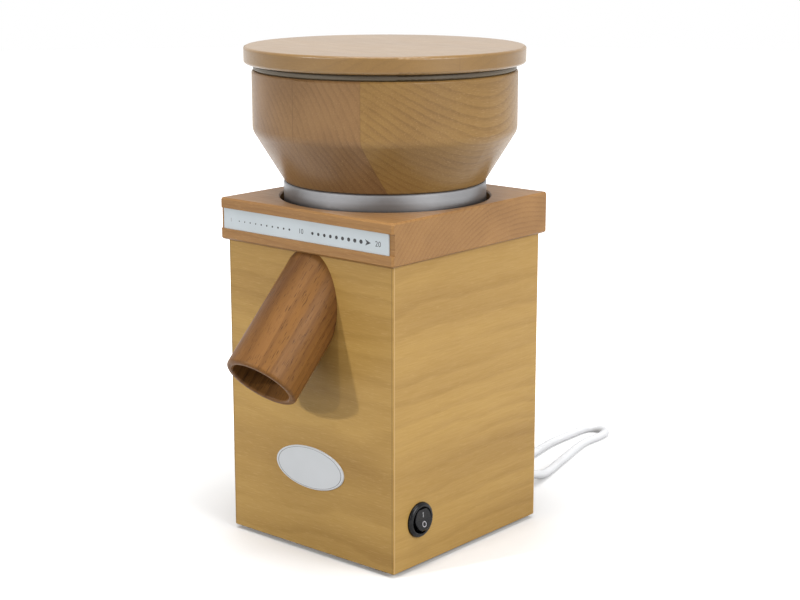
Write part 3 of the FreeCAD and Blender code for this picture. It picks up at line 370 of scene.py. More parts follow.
@dataclass(frozen=True)
class Metal:
    """A metal with tool marks in its roughness and relief."""

    name: str
    shade: Shade
    rough: float
    marks: Marks
    relief: float = 0.01 * MM
    sheen_shift: float = 0.1

    TURNED_SCALE: ClassVar[float] = 2600.0
    BRUSHED_STRETCH: ClassVar[Stretch] = (60.0, 2600.0, 2600.0)
    SHEET_SCALE: ClassVar[float] = 2000.0
    CAST_SCALE: ClassVar[float] = 900.0
    PLAIN_STRETCH: ClassVar[Stretch] = (900.0, 900.0, 200.0)
    PATCH_SCALE: ClassVar[float] = 35.0
    PATCH_DEPTH: ClassVar[float] = 0.6
    DULL: ClassVar[float] = 0.86
    TONE_RANGE: ClassVar[Range] = (0.55, 1.05)

    def pattern(self, g: Graph) -> bpy.types.NodeSocket:
        """Draw the tool marks.

        Args:
            g: the material's graph.

        Returns:
            The marks as a number about 0.5.
        """
        x, y, z = g.split(g.place)
        if self.marks is Marks.TURNED:
            flat = g.node("VectorMath", {0: g.joined(x, y, 0.0)}, operation="LENGTH").outputs["Value"]
            return g.noise(g.joined(flat, z, 0.0), self.TURNED_SCALE, 4.0)
        if self.marks is Marks.BRUSHED:
            return g.noise(g.scaled(g.place, self.BRUSHED_STRETCH), detail=4.0)
        if self.marks is Marks.STACKED:
            return g.noise(g.joined(0.0, 0.0, z), self.SHEET_SCALE, 0.0)
        if self.marks is Marks.CAST:
            return g.noise(g.place, self.CAST_SCALE, 6.0)
        return g.noise(g.scaled(g.place, self.PLAIN_STRETCH), detail=2.0)

    @cache
    def material(self) -> bpy.types.Material:
        """Let the colour, roughness and relief follow the tool marks.

        Returns:
            The metal's material.
        """
        g = Graph(self.name)
        marks = self.pattern(g)
        patches = g.noise(g.place, self.PATCH_SCALE, 3.0)
        dull = tuple(round(level * self.DULL) for level in self.shade)
        tone = g.spread(g.math("ADD", marks, g.math("MULTIPLY", patches, self.PATCH_DEPTH)), *self.TONE_RANGE)
        colour = g.mix(tone, linear(dull), linear(self.shade))
        smoothest = self.rough - self.sheen_shift / 2
        roughness = g.spread(marks, *USUAL, smoothest, self.rough + self.sheen_shift)
        g.finish(colour, roughness, marks, self.relief)
        g.shader.inputs["Metallic"].default_value = 1.0
        return g.material


@dataclass(frozen=True)
class Moulded:
    """Moulded plastic or rubber with a fine skin and slightly uneven colour."""

    name: str
    shade: Shade
    rough: float
    skin: float = 0.01 * MM
    grain: float = 1800.0
    uneven: float = 0.08
    shine: float = 0.5
    clear: float = 0.0

    PATCH_SCALE: ClassVar[float] = 28.0
    SMOOTHER: ClassVar[float] = 0.04
    ROUGHER: ClassVar[float] = 0.06
    SCATTER: ClassVar[Stretch] = (2 * MM, 2 * MM, 2 * MM)

    @cache
    def material(self) -> bpy.types.Material:
        """Give the plastic or rubber its fine skin and soft patches.

        Returns:
            Its material.
        """
        g = Graph(self.name)
        skin = g.noise(g.place, self.grain, 3.0)
        soft = g.spread(g.noise(g.place, self.PATCH_SCALE, 3.0), *USUAL)
        dark = tuple(round(level * (1 - self.uneven)) for level in self.shade)
        colour = g.mix(soft, linear(dark), linear(self.shade))
        roughness = g.spread(skin, *USUAL, self.rough - self.SMOOTHER, self.rough + self.ROUGHER)
        g.finish(colour, roughness, skin, self.skin)
        g.shader.inputs["Specular IOR Level"].default_value = self.shine
        g.shader.inputs["Subsurface Weight"].default_value = self.clear
        g.shader.inputs["Subsurface Radius"].default_value = self.SCATTER
        return g.material


@dataclass(frozen=True)
class GritStone:
    """Bonded grit, with grains of a few greys and open pores."""

    name: str
    shade: Shade
    dark: Shade

    GRAIN_SCALE: ClassVar[float] = 900.0
    GRAIN_SHARE: ClassVar[float] = 0.7
    PATCH_SCALE: ClassVar[float] = 120.0
    PATCH_SHARE: ClassVar[float] = 0.5
    TONE_RANGE: ClassVar[Range] = (0.1, 1.0)
    ROUGH_RANGE: ClassVar[Range] = (0.75, 0.95)
    PORE_DEPTH: ClassVar[float] = 0.3 * MM

    @cache
    def material(self) -> bpy.types.Material:
        """Set grains of several greys side by side, with pores between them.

        Returns:
            The stone's material.
        """
        g = Graph(self.name)
        cells = g.node("TexVoronoi", {"Vector": g.place, "Scale": self.GRAIN_SCALE})
        grains = g.split(cells.outputs["Color"])[0]
        patch = g.noise(g.place, self.PATCH_SCALE, 4.0)
        grain_tone = g.math("MULTIPLY", grains, self.GRAIN_SHARE)
        tone = g.math("ADD", grain_tone, g.math("MULTIPLY", patch, self.PATCH_SHARE))
        colour = g.mix(g.spread(tone, *self.TONE_RANGE), linear(self.dark), linear(self.shade))
        roughness = g.spread(grains, 0.0, 1.0, *self.ROUGH_RANGE)
        g.finish(colour, roughness, cells.outputs["Distance"], self.PORE_DEPTH)
        return g.material


@dataclass(frozen=True)
class Felt:
    """Pressed wool fibres."""

    name: str
    shade: Shade

    FIBRES: ClassVar[Stretch] = (900.0, 900.0, 2200.0)
    DARK: ClassVar[float] = 0.75
    ROUGH: ClassVar[float] = 0.95
    DEPTH: ClassVar[float] = 0.3 * MM
    SHEEN: ClassVar[float] = 0.4

    @cache
    def material(self) -> bpy.types.Material:
        """Tangle the wool's fibres and give them a soft sheen.

        Returns:
            The felt's material.
        """
        g = Graph(self.name)
        fibres = g.noise(g.scaled(g.place, self.FIBRES), detail=5.0)
        dark = tuple(round(level * self.DARK) for level in self.shade)
        colour = g.mix(g.spread(fibres, *USUAL), linear(dark), linear(self.shade))
        g.finish(colour, self.ROUGH, fibres, self.DEPTH)
        g.shader.inputs["Sheen Weight"].default_value = self.SHEEN
        return g.material


# The outer faces of the side panels and of the front panel, from the milling axis.
SIDE = 71.05 * MM
FRONT = 73.9 * MM
PANEL_PALE = (184, 147, 80)
PANEL_DEEP = (146, 110, 52)
PANEL_FLECK = (204, 170, 108)
PANEL_WOOD = Wood(
    "panel_wood", PANEL_PALE, PANEL_DEEP, PANEL_FLECK, Grain.ALONG_X,
    hearts=((0.0, 0.06), (0.0, 0.06)), ring=10.0 * MM, wave=20 * MM, contrast=0.34, broad=0.55, flecked=0.22,
    # The dark line just inside each side corner is the mitre joint, darkened further as painted shade on the
    # rounded edge.
    seams_and_edge_light=((0, SIDE - 1.3 * MM, 0.4 * MM, (120, 96, 52)),),
)
SIDE_WOOD = Wood(
    "side_panel_wood", PANEL_PALE, PANEL_DEEP, PANEL_FLECK, Grain.ALONG_Y,
    hearts=((0.01, 0.23), (0.01, 0.23)), ring=11.0 * MM, wave=20 * MM, contrast=0.32, broad=0.5, flecked=0.18,
    # The pale line just behind each front and back corner is a painted highlight on the rounded edge.
    seams_and_edge_light=((1, FRONT - 0.9 * MM, 0.5 * MM, (200, 166, 118)),),
)
CAP_WOOD = Wood(
    "cap_wood", (162, 120, 70), (118, 80, 42), (184, 142, 90), Grain.ALONG_X,
    hearts=((0.05, 0.10), (0.05, 0.10)), ring=3.2 * MM, wave=8 * MM, contrast=0.36, broad=0.42, flecked=0.35,
)
BOWL_WOOD = Wood(
    "bowl_wood", (142, 108, 70), (92, 63, 38), (172, 138, 96), Grain.ALONG_Y,
    hearts=((0.118, 0.215), (0.024, 0.196)), ring=4.2 * MM, wave=9 * MM, contrast=0.34, broad=0.4,
    flecked=0.4, strip=93.2 * MM, strip_edge=-44.3 * MM, gloss=0.36, coat=0.15, shine=0.18,
    # The odd strips at the bowl's left and right sides are paler: a tone of their own, and painted light from
    # the side lamps.
    odd_pale_and_side_light=(155, 121, 70), odd_deep_and_side_light=(100, 70, 38), seams_and_edge_light=((0, 0.0, 0.3 * MM, (112, 82, 52)),),
)
LID_WOOD = Wood(
    "lid_wood", (138, 104, 52), (106, 76, 36), (158, 124, 74), Grain.ALONG_X,
    hearts=((0.02, 0.25), (-0.04, 0.28)), ring=5.0 * MM, wave=10 * MM, contrast=0.22, broad=0.3, flecked=0.2,
    strip=61 * MM, strip_edge=-30 * MM, gloss=0.34, coat=0.5, shine=0.3,
)
SPOUT_WOOD = Wood(
    "spout_wood", (134, 92, 46), (84, 52, 26), (56, 34, 18), Grain.DOWN_SPOUT,
    hearts=((0.03, 0.02), (0.03, 0.02)), ring=5.5 * MM, wave=7 * MM, contrast=0.55, broad=0.5, flecked=0.7,
    coat=0.04, shine=0.14,
)
BLOCK_WOOD = Wood(
    "block_wood", (214, 186, 140), (176, 140, 92), (150, 112, 70), Grain.ALONG_Z,
    hearts=((0.1, 0.1), (0.1, 0.1)), ring=3.0 * MM, wave=5 * MM, contrast=0.5, broad=0.3, gloss=0.6,
)
# The lid plug's dark colour is painted shade under the lid's overhang.
LID_PLUG_SHADE = Moulded("dark_disc", (86, 74, 54), 0.45, grain=700.0, uneven=0.2)
COLLAR_METAL = Metal("collar_metal", (132, 132, 134), 0.36, Marks.TURNED)
CAST_METAL = Metal("cast_metal", (176, 178, 180), 0.5, Marks.CAST, relief=0.12 * MM)
SCALE_METAL = Moulded("scale_enamel", (196, 204, 208), 0.4, grain=900.0, uneven=0.04)
PLATE_FACE = Moulded("plate_enamel", (208, 211, 214), 0.4, grain=900.0, uneven=0.04)
STONE = GritStone("grit_stone", (206, 200, 190), (120, 114, 106))
STEEL = Metal("steel", (188, 188, 190), 0.3, Marks.PLAIN)
CORE_STEEL = Metal("core_steel", (120, 122, 128), 0.45, Marks.STACKED, relief=0.05 * MM)
COPPER = Metal("enamelled_copper", (176, 92, 48), 0.38, Marks.PLAIN, relief=0.1 * MM)
BRASS = Metal("brass", (206, 172, 100), 0.3, Marks.PLAIN)
WOOL = Felt("wool_felt", (200, 196, 184))
BLACK_PLASTIC = Moulded(
    "black_plastic", (10, 10, 13), 0.24, skin=0.003 * MM, grain=1200.0, uneven=0.3, shine=0.22
)
FAN_PLASTIC = Moulded("fan_plastic", (46, 47, 50), 0.55)
WHITE_PLASTIC = Moulded("white_plastic", (232, 232, 228), 0.4)
PALE_RUBBER = Moulded("pale_rubber", (216, 212, 198), 0.5, clear=0.3)
CORD_WHITE = Moulded("cord_sheath", (232, 233, 235), 0.42, skin=0.02 * MM, grain=1400.0, uneven=0.05)
BLACK_INK = Moulded("black_ink", (26, 26, 30), 0.5, skin=0.004 * MM, uneven=0.25)
GREY_INK = Moulded("grey_ink", (132, 128, 130), 0.5, skin=0.004 * MM, uneven=0.2)
WHITE_INK = Moulded("white_ink", (176, 172, 178), 0.5, skin=0.004 * MM, uneven=0.06)
FAINT_INK = Moulded("faint_ink", (140, 140, 142), 0.5, skin=0.004 * MM, uneven=0.06)


def dress(nodes: Sequence[str], finish: Finish) -> None:
    """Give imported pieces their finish.

    Args:
        nodes: the pieces' names.
        finish: what they are dressed in.
    """
    for name in nodes:
        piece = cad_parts[name]
        piece.data.materials.clear()
        piece.data.materials.append(finish.material())
        log.info("dressed %s in %s", name, finish.material().name)


def placed(name: str, bm: bmesh.types.BMesh, finish: Finish, body: str) -> bpy.types.Object:
    """Turn a finished bmesh into a piece that rides on a body.

    Args:
        name: the piece's name.
        bm: its shape, in place; it is freed.
        finish: what it is dressed in.
        body: the body that carries it.

    Returns:
        The new piece.
    """
    mesh = bpy.data.meshes.new(name)
    for face in bm.faces:
        face.smooth = True
    bm.to_mesh(mesh)
    bm.free()
    mesh.set_sharp_from_angle(angle=SHARP_ANGLE)
    mesh.materials.append(finish.material())
    piece = bpy.data.objects.new(name, mesh)
    bpy.context.scene.collection.objects.link(piece)
    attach(piece, body)
    log.info("built %s with %d faces on %s", name, len(mesh.polygons), body)
    return piece


def spun(profile: Profile, closed: bool = True, steps: int = 64) -> bmesh.types.BMesh:
    """A shape turned about Z.

    Args:
        profile: corners as pairs of radius and height.
        closed: whether the last corner joins the first; open profiles end on the axis.
        steps: flats round the turn.

    Returns:
        The shape, with its normals outwards.
    """
    bm = bmesh.new()
    corners = [bm.verts.new((radius, 0.0, height)) for radius, height in profile]
    ends = corners[1:] + corners[:1] if closed else corners[1:]
    edges = [bm.edges.new(pair) for pair in zip(corners, ends)]
    bmesh.ops.spin(
        bm, geom=corners + edges, cent=(0, 0, 0), axis=(0, 0, 1), angle=math.tau, steps=steps, use_merge=True
    )
    bmesh.ops.remove_doubles(bm, verts=bm.verts, dist=WELD)
    bmesh.ops.recalc_face_normals(bm, faces=bm.faces)
    return bm


def slab(outline: Sequence[tuple[float, float]], thick: float) -> bmesh.types.BMesh:
    """A flat shape in the XY plane, raised along Z.

    Args:
        outline: its corners in order.
        thick: how far it is raised.

    Returns:
        The shape, with its normals outwards.
    """
    bm = bmesh.new()
    face = bm.faces.new([bm.verts.new((x, y, 0.0)) for x, y in outline])
    raised = bmesh.ops.extrude_face_region(bm, geom=[face])
    tops = [part for part in raised["geom"] if isinstance(part, bmesh.types.BMVert)]
    bmesh.ops.translate(bm, verts=tops, vec=(0.0, 0.0, thick))
    bmesh.ops.recalc_face_normals(bm, faces=bm.faces)
    return bm


def merged(shapes: Sequence[bmesh.types.BMesh]) -> bmesh.types.BMesh:
    """Several shapes in one.

    Args:
        shapes: the single shapes; they are freed.

    Returns:
        The one shape.
    """
    whole = bmesh.new()
    for shape in shapes:
        mesh = bpy.data.meshes.new("part")
        shape.to_mesh(mesh)
        shape.free()
        whole.from_mesh(mesh)
        bpy.data.meshes.remove(mesh)
    return whole


def lettering(text: str, size: float, thick: float) -> bmesh.types.BMesh:
    """Raised figures in the XY plane, centred on the origin.

    Args:
        text: the figures.
        size: the height of a line of text.
        thick: how far they stand up.

    Returns:
        The figures as one shape.
    """
    font = bpy.data.curves.new("figures", "FONT")
    font.body = text
    font.size = size
    font.extrude = thick / 2
    font.align_x = "CENTER"
    font.align_y = "CENTER"
    carrier = bpy.data.objects.new("figures", font)
    mesh = bpy.data.meshes.new_from_object(carrier)
    bm = bmesh.new()
    bm.from_mesh(mesh)
    bpy.data.objects.remove(carrier)
    bpy.data.meshes.remove(mesh)
    bpy.data.curves.remove(font)
    return bm


def facing(origin: Sequence[float], right: Sequence[float], up: Sequence[float]) -> Matrix:
    """The place of a flat shape.

    Args:
        origin: where its middle goes.
        right: where its X points.
        up: where its Y points, about.

    Returns:
        The matrix, with Z out of the surface.
    """
    x = Vector(right).normalized()
    z = x.cross(Vector(up)).normalized()
    y = z.cross(x)
    turn = Matrix((x, y, z)).transposed()
    return Matrix.Translation(Vector(origin)) @ turn.to_4x4()


@dataclass
class Housing:
    """Mitred panels, cap board, blocks, base and feet."""

    def build(self) -> None:
        """Dress the wooden box and what is screwed and glued to it."""
        dress(("front_panel", "back_panel"), PANEL_WOOD)
        dress(("left_panel", "right_panel"), SIDE_WOOD)
        dress(("cap_board",), CAP_WOOD)
        dress(("base_plate", "base_blocks", "top_blocks"), BLOCK_WOOD)
        dress(("feet",), PALE_RUBBER)
        dress(("foot_screws", "base_screws", "cap_screws"), STEEL)


@dataclass
class FinenessScale:
    """The metal strip and its printed dots, arrow and figures.

    Dots get bigger along a row: sizes hold the first radius and what each next one adds, in
    millimetres. Figures hold the text, its place along the strip, its size and its ink.
    """

    height: float = 213.0 * MM
    ink: float = 0.06 * MM
    small_first: float = -57.6 * MM
    small_pitch: float = 5.0 * MM
    small_count: int = 10
    small_sizes: Range = (0.42, 0.035)
    big_first: float = 7.3 * MM
    big_pitch: float = 5.07 * MM
    big_count: int = 9
    big_sizes: Range = (1.0, 0.04)
    dot_flats: int = 20
    arrow_x: float = 53.4 * MM
    figures: tuple[tuple[str, float, float, Moulded], ...] = (
        ("1", -65.0 * MM, 3.6 * MM, GREY_INK),
        ("10", -2.6 * MM, 4.4 * MM, BLACK_INK),
        ("20", 61.6 * MM, 4.8 * MM, BLACK_INK),
    )

    def on_strip(self, x: float) -> Matrix:
        """The place of a mark on the strip's face."""
        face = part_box("scale_strip")[0].y
        return facing((x, face + self.ink / SUNK_PART, self.height), (1, 0, 0), (0, 0, 1))

    def dot(self, x: float, radius: float) -> bmesh.types.BMesh:
        """One printed dot.

        Args:
            x: its place along the strip.
            radius: its radius.

        Returns:
            The dot, in place.
        """
        bm = bmesh.new()
        bmesh.ops.create_circle(bm, cap_ends=True, segments=self.dot_flats, radius=radius)
        raised = bmesh.ops.extrude_face_region(bm, geom=list(bm.faces))
        tops = [part for part in raised["geom"] if isinstance(part, bmesh.types.BMVert)]
        bmesh.ops.translate(bm, verts=tops, vec=(0.0, 0.0, self.ink))
        bmesh.ops.recalc_face_normals(bm, faces=bm.faces)
        bm.transform(self.on_strip(x))
        return bm

    def row(self, first: float, pitch: float, count: int, sizes: Range) -> list[bmesh.types.BMesh]:
        """A row of dots that get bigger.

        Args:
            first: the first dot's place along the strip.
            pitch: the way from one dot to the next.
            count: how many dots there are.
            sizes: the first radius and what each next one adds, in millimetres.

        Returns:
            The dots in order.
        """
        start, growth = sizes
        return [self.dot(first + pitch * i, (start + growth * i) * MM) for i in range(count)]

    def arrow(self) -> bmesh.types.BMesh:
        """The arrow head after the last dot, with its notched back.

        Returns:
            The arrow head, in place.
        """
        half = 2.0 * MM
        tip = 2.4 * MM
        back = -2.2 * MM
        notch = -0.9 * MM
        bm = slab(((tip, 0.0), (back, half), (notch, 0.0), (back, -half)), self.ink)
        bm.transform(self.on_strip(self.arrow_x))
        return bm

    def build(self) -> None:
        """Dress the strip and print its marks."""
        dress(("scale_strip",), SCALE_METAL)
        small = self.row(self.small_first, self.small_pitch, self.small_count, self.small_sizes)
        big = self.row(self.big_first, self.big_pitch, self.big_count, self.big_sizes)
        placed("scale_dots", merged(small + big + [self.arrow()]), BLACK_INK, "housing")
        for text, x, size, ink in self.figures:
            bm = lettering(text, size, self.ink)
            bm.transform(self.on_strip(x))
            placed("scale_figure_" + text, bm, ink, "housing")


@dataclass
class OvalPlate:
    """The bare oval plate with a fine border line.

    The line's inner and outer edges are shares of the plate's half width and half height.
    """

    inner: float = 0.925
    outer: float = 0.94
    ink: float = 0.06 * MM
    flats: int = 96

    def build(self) -> None:
        """Dress the plate and lay its border line."""
        dress(("name_plate",), PLATE_FACE)
        low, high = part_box("name_plate")
        half_x = (high.x - low.x) / 2
        half_z = (high.z - low.z) / 2
        corners = ((self.inner, 0.0), (self.outer, 0.0), (self.outer, self.ink), (self.inner, self.ink))
        rim = spun(corners, steps=self.flats)
        rim.transform(Matrix.Diagonal((half_x, half_z, 1.0, 1.0)))
        centre = ((low.x + high.x) / 2, low.y + self.ink / SUNK_PART, (low.z + high.z) / 2)
        rim.transform(facing(centre, (1, 0, 0), (0, 0, 1)))
        placed("plate_border", rim, GREY_INK, "housing")


@dataclass
class MillHead:
    """Spout, chamber, stones and the sprung pins."""

    def build(self) -> None:
        """Dress what the grain meets on its way out."""
        dress(("spout",), SPOUT_WOOD)
        dress(("milling_chamber", "stone_carrier", "stone_hub"), CAST_METAL)
        dress(("lower_stone", "upper_stone"), STONE)
        dress(("felt_seal",), WOOL)
        dress(("feed_nut", "chamber_screws", "carrier_screws", "pressure_pins", "pin_springs"), STEEL)


@dataclass
class Hopper:
    """Bowl, collar, cone and lid."""

    def build(self) -> None:
        """Dress the turned bowl and its loose lid."""
        dress(("hopper_bowl",), BOWL_WOOD)
        dress(("collar_ring", "feed_cone"), COLLAR_METAL)
        dress(("collar_screws",), STEEL)
        dress(("lid_disc",), LID_WOOD)
        # The plug's dark colour is painted shade.
        dress(("lid_plug",), LID_PLUG_SHADE)


@dataclass
class Motor:
    """The induction motor and its wiring inside the housing."""

    def build(self) -> None:
        """Dress the motor and the electrical pieces."""
        dress(("upper_end_shield", "lower_end_shield"), CAST_METAL)
        dress(("stator_stack", "rotor_core"), CORE_STEEL)
        dress(("windings",), COPPER)
        dress(("shaft", "upper_bearing", "lower_bearing", "motor_bolts", "capacitor_clip"), STEEL)
        dress(("cooling_fan",), FAN_PLASTIC)
        dress(("capacitor", "terminal_block", "inner_wires"), WHITE_PLASTIC)


@dataclass
class RockerSwitch:
    """The round switch low on the right side, with its two marks.

    The face and the marks are measured from the rocker's pin, before the rocker is tilted. The dish
    is the slope of each half of the face.
    """

    rise: float = 0.05 * MM
    bar_tall: float = 3.4 * MM
    bar_wide: float = 0.75 * MM
    ring_radius: float = 1.95 * MM
    ring_line: float = 0.55 * MM
    ring_flats: int = 32
    mark_out: float = 3.1 * MM
    face: float = 4.7 * MM
    dish: float = 0.75 / 9.0
    tilt: float = math.radians(10.0)
    pin: tuple[float, float, float] = (69.85 * MM, -49.0 * MM, 32.8 * MM)

    def on_face(self, upper: bool) -> Matrix:
        """The place of a mark on the tilted rocker.

        Args:
            upper: whether it is on the upper half.

        Returns:
            The matrix, with Z out of the face.
        """
        away = 1.0 if upper else -1.0
        out = self.face + self.dish * self.mark_out - self.rise / 2
        level = facing((out, 0.0, away * self.mark_out), (0, 1, 0), (self.dish * away, 0, 1))
        return Matrix.Translation(self.pin) @ Matrix.Rotation(-self.tilt, 4, "Y") @ level

    def build(self) -> None:
        """Dress the switch and print I above O."""
        dress(("switch_body", "switch_rocker"), BLACK_PLASTIC)
        dress(("switch_terminals",), BRASS)
        x = self.bar_wide / 2
        y = self.bar_tall / 2
        bar = slab(((-x, -y), (x, -y), (x, y), (-x, y)), self.rise)
        bar.transform(self.on_face(True))
        placed("switch_mark_on", bar, FAINT_INK, "rocker")
        outer = self.ring_radius
        inner = outer - self.ring_line
        section = ((inner, 0.0), (outer, 0.0), (outer, self.rise), (inner, self.rise))
        ring = spun(section, steps=self.ring_flats)
        ring.transform(self.on_face(False))
        placed("switch_mark_off", ring, WHITE_INK, "rocker")


@dataclass
class MainsCord:
    """The white cord: sleeve, free stretch, coil behind the mill, and plug.

    The diameter and the length are in metres, and all else is in millimetres. Profiles are pairs of
    radius and distance from the wall; a rib's own are how much thinner it is there and the share of
    the pitch, and the nose's are the radius and the distance from the sleeve's end.
    """

    diameter: float = 6.2 * MM
    length: float = 1.45
    coil_x: float = -45.0
    coil_y: float = 135.0
    coil_radius: float = 42.0
    coil_low: float = 3.9
    pitch: float = 6.9
    turns: float = 2.5
    steps: int = 16
    sleeve_x: float = 33.0
    sleeve_z: float = 13.0
    wall: float = 73.9
    sleeve_end: float = 100.0
    ribs: int = 6
    flange: tuple[Range, ...] = (
        (0.0, -10.0), (5.4, -10.0), (5.4, 0.0), (7.2, 0.0), (7.8, 0.5), (7.8, 1.6), (7.3, 2.2), (5.8, 2.8),
    )
    rib: tuple[Range, ...] = ((0.7, 0.0), (0.15, 0.15), (0.0, 0.3), (0.0, 0.55), (0.15, 0.7), (0.75, 0.85))
    nose: tuple[Range, ...] = ((3.9, 1.6), (3.9, 0.3), (3.6, 0.0), (0.0, 0.0))
    rib_start: float = 4.0
    rib_thick: float = 5.7
    rib_taper: float = 1.7
    nose_long: float = 2.0
    sleeve_flats: int = 48
    sheath_flats: int = 4
    span_steps: int = 6
    order: int = 3
    route: tuple[Stretch, ...] = (
        (33.0, 100.0, 13.0),
        (33.0, 112.0, 13.0),
        (32.2, 126.0, 9.0),
        (29.8, 140.0, 4.2),
        (26.0, 155.0, 3.15),
        (21.4, 171.0, 3.15),
        (16.4, 190.0, 3.15),
        (10.4, 211.0, 3.15),
        (6.2, 230.0, 3.15),
        (7.3, 247.0, 3.15),
        (6.0, 258.0, 3.15),
        (2.3, 263.1, 3.15),
        (-3.6, 265.0, 3.15),
        (-9.5, 263.1, 3.15),
        (-13.0, 258.0, 3.15),
        (-13.6, 247.0, 3.15),
        (-13.2, 230.0, 3.15),
        (-12.8, 211.0, 3.15),
        (-9.6, 193.0, 3.15),
        (-6.2, 176.0, 3.3),
        (-3.8, 163.0, 3.9),
        (-3.0, 152.0, 3.9),
        (-3.0, 141.2, 3.9),
    )

    def coil_point(self, angle: float) -> Stretch:
        """A control point of the coil.

        Args:
            angle: how far the cord has turned since it entered the coil, in radians.

        Returns:
            The point, in millimetres, a little outside the cord's own line.
        """
        way_in = math.tau * self.turns
        per_radian = self.pitch / math.tau
        inner = self.coil_radius - self.pitch * self.turns
        climb = min(max(angle - way_in, 0.0), math.pi)
        if angle < way_in:
            radius = self.coil_radius - per_radian * angle
        elif angle < way_in + math.pi:
            radius = inner - per_radian * climb * (math.pi - climb) / math.pi
        else:
            radius = inner + per_radian * (angle - way_in - math.pi)
        radius /= math.cos(math.pi / self.steps)
        height = self.coil_low + self.pitch * (1 - math.cos(climb)) / 2
        return (self.coil_x + radius * math.cos(angle), self.coil_y - radius * math.sin(angle), height)

    def sheath(self) -> bpy.types.Object:
        """The cord itself, one smooth line from the sleeve to the plug.

        Returns:
            The cord's piece.
        """
        whole = math.tau * (2 * self.turns + 0.5)
        step = math.tau / self.steps
        count = round(whole / step)
        coil = [self.coil_point((i + 0.5) * step) for i in range(count)]
        end_height = self.coil_low + self.pitch
        last = (self.coil_x - self.coil_radius, self.coil_y + 2 * self.diameter / MM, end_height)
        points = [Vector(p) * MM for p in (*self.route, *coil, last)]
        curve = bpy.data.curves.new("mains_cord", "CURVE")
        curve.dimensions = "3D"
        curve.bevel_depth = self.diameter / 2
        curve.bevel_resolution = self.sheath_flats
        curve.resolution_u = self.span_steps
        curve.use_fill_caps = True
        spline = curve.splines.new("NURBS")
        spline.points.add(len(points) - 1)
        for target, point in zip(spline.points, points):
            target.co = (*point, 1.0)
        spline.order_u = self.order
        spline.use_endpoint_u = True
        curve.materials.append(CORD_WHITE.material())
        piece = bpy.data.objects.new("mains_cord", curve)
        bpy.context.scene.collection.objects.link(piece)
        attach(piece, "housing")
        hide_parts("cord", "cord_coil")
        log.info("laid the cord along %d points", len(points))
        return piece

    def sleeve(self) -> bpy.types.Object:
        """The strain relief: a flange, a ribbed taper and the part inside the wall.

        Returns:
            The sleeve's piece.
        """
        end = self.sleeve_end - self.wall
        pitch = (end - self.rib_start - self.nose_long) / self.ribs
        profile = list(self.flange)
        for i in range(self.ribs):
            low = self.rib_start + pitch * i
            thick = self.rib_thick - self.rib_taper * i / (self.ribs - 1)
            profile += [(thick - thinner, low + share * pitch) for thinner, share in self.rib]
        profile += [(radius, end - back) for radius, back in self.nose]
        scaled = [(radius * MM, height * MM) for radius, height in profile]
        bm = spun(scaled, closed=False, steps=self.sleeve_flats)
        bm.transform(Matrix.Rotation(math.radians(-90), 4, "X"))
        bm.transform(Matrix.Translation(Vector((self.sleeve_x, self.wall, self.sleeve_z)) * MM))
        piece = placed("ribbed_sleeve", bm, CORD_WHITE, "housing")
        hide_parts("strain_relief")
        return piece

    def build(self) -> None:
        """Lay the cord and dress what is on it."""
        dress(("cord_tie",), FAN_PLASTIC)
        dress(("plug_body",), WHITE_PLASTIC)
        dress(("plug_pins",), BRASS)
        sleeve = self.sleeve()
        sheath = self.sheath()


@dataclass(frozen=True)
class Lamp:
    """One soft round lamp that shines at the mill.

    Azimuth and elevation are in degrees, and the power is in watts.
    """

    name: str
    azimuth: float
    elevation: float
    distance: float
    size: float
    power: float

    def build(self, aim: Vector) -> None:
        """Hang the lamp.

        Args:
            aim: the point that it shines at.
        """
        data = bpy.data.lights.new(self.name, "AREA")
        data.shape = "DISK"
        data.size = self.size
        data.energy = self.power
        lamp = bpy.data.objects.new(self.name, data)
        bpy.context.scene.collection.objects.link(lamp)
        turn = math.radians(self.azimuth)
        lift = math.radians(self.elevation)
        away = Vector((math.sin(turn) * math.cos(lift), -math.cos(turn) * math.cos(lift), math.sin(lift)))
        lamp.location = aim + away * self.distance
        lamp.rotation_euler = away.to_track_quat("Z", "Y").to_euler()
        log.info("hung lamp %s", self.name)


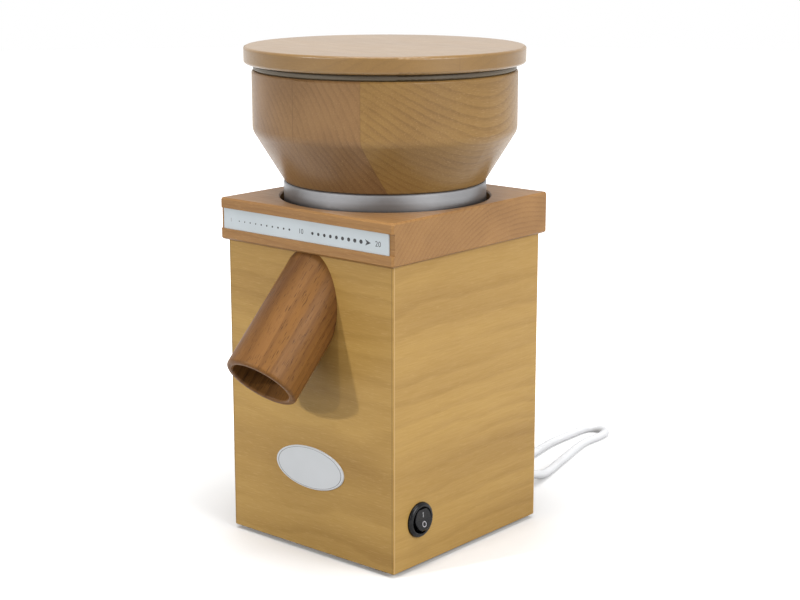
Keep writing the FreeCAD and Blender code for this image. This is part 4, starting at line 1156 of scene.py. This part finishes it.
@dataclass
class Studio:
    """Pale floor, white surroundings, soft lamps and the camera.

    Lamp azimuths are degrees round from the front (-Y) towards the switch side (+X). The floor's own
    glow rises over the reach from the mill outwards. The lens and the sensor are in millimetres.
    """

    floor_radius: float = 4.0
    floor_flats: int = 96
    floor_rough: float = 0.8
    floor_shine: float = 0.1
    floor_shade: Shade = (240, 240, 240)
    bounce_shade: Shade = (150, 150, 150)
    glow: tuple[float, float] = (0.0, 1.0)
    glow_reach: tuple[float, float] = (0.1, 0.5)
    ambient: float = 0.3
    aim: tuple[float, float, float] = (0.0, 0.0, 0.17)
    lamps: tuple[Lamp, ...] = (
        Lamp("front_lamp", -2.0, 20.0, 2.2, 0.10, 6.0),
        Lamp("front_left_lamp", -20.0, 22.0, 2.2, 0.12, 17.0),
        Lamp("right_lamp", 90.0, 26.0, 1.8, 1.2, 25.0),
        Lamp("top_lamp", 20.0, 84.0, 1.8, 1.5, 29.0),
    )
    camera_at: tuple[float, float, float] = (0.7287, -0.8337, 0.4118)
    camera_tilt: float = 90.0 - 13.009
    camera_turn: float = 40.654
    lens: float = 77.0
    sensor: float = 36.0

    def floor(self) -> None:
        """Lay a wide pale disc that keeps the mill's shadow and is white where nothing shades it."""
        bm = bmesh.new()
        bmesh.ops.create_circle(bm, cap_ends=True, segments=self.floor_flats, radius=self.floor_radius)
        mesh = bpy.data.meshes.new("floor")
        bm.to_mesh(mesh)
        bm.free()
        g = Graph("pale_floor")
        light = g.node("LightPath")
        seen = g.math("MAXIMUM", light.outputs["Is Camera Ray"], light.outputs["Is Glossy Ray"])
        seen = g.math("MAXIMUM", seen, light.outputs["Is Transmission Ray"])
        g.finish(g.mix(seen, linear(self.bounce_shade), linear(self.floor_shade)), self.floor_rough)
        away = g.node("VectorMath", {0: g.place}, operation="LENGTH").outputs["Value"]
        rising = g.spread(away, *self.glow_reach, *self.glow)
        g.feed(g.shader.inputs["Emission Color"], WHITE_LIGHT)
        g.feed(g.shader.inputs["Emission Strength"], g.math("MULTIPLY", seen, rising))
        g.shader.inputs["Specular IOR Level"].default_value = self.floor_shine
        mesh.materials.append(g.material)
        piece = bpy.data.objects.new("floor", mesh)
        bpy.context.scene.collection.objects.link(piece)

    def surroundings(self) -> None:
        """Put even grey light all round, seen as white by the camera and in reflections."""
        world = bpy.data.worlds.new("studio")
        world.use_nodes = True
        tree = world.node_tree
        background = tree.nodes["Background"]
        background.inputs["Color"].default_value = WHITE_LIGHT
        light = tree.nodes.new("ShaderNodeLightPath")
        choose = tree.nodes.new("ShaderNodeMapRange")
        choose.inputs["To Min"].default_value = self.ambient
        choose.inputs["To Max"].default_value = 1.0
        seen = light.outputs["Is Camera Ray"]
        for kind in ("Is Glossy Ray", "Is Transmission Ray"):
            either = tree.nodes.new("ShaderNodeMath")
            either.operation = "MAXIMUM"
            tree.links.new(seen, either.inputs[0])
            tree.links.new(light.outputs[kind], either.inputs[1])
            seen = either.outputs[0]
        tree.links.new(seen, choose.inputs["Value"])
        tree.links.new(choose.outputs[0], background.inputs["Strength"])
        bpy.context.scene.world = world

    def camera(self) -> None:
        """Set the camera at the photograph's angle."""
        data = bpy.data.cameras.new("camera")
        data.lens = self.lens
        data.sensor_width = self.sensor
        data.sensor_fit = "HORIZONTAL"
        piece = bpy.data.objects.new("camera", data)
        bpy.context.scene.collection.objects.link(piece)
        piece.location = self.camera_at
        piece.rotation_euler = Euler((math.radians(self.camera_tilt), 0.0, math.radians(self.camera_turn)))
        bpy.context.scene.camera = piece

    def build(self) -> None:
        """Set the stage."""
        self.floor()
        self.surroundings()
        for lamp in self.lamps:
            lamp.build(Vector(self.aim))
        self.camera()
        bpy.context.scene.view_settings.view_transform = "Standard"


def main() -> None:
    """Build the sub-assemblies in order, then the studio."""
    logging.basicConfig(level=logging.INFO, format="%(name)s: %(message)s")
    assemblies = (
        MainsCord(),
        Housing(),
        FinenessScale(),
        OvalPlate(),
        MillHead(),
        Hopper(),
        Motor(),
        RockerSwitch(),
        Studio(),
    )
    for assembly in assemblies:
        assembly.build()


if __name__ == "__main__":
    main()
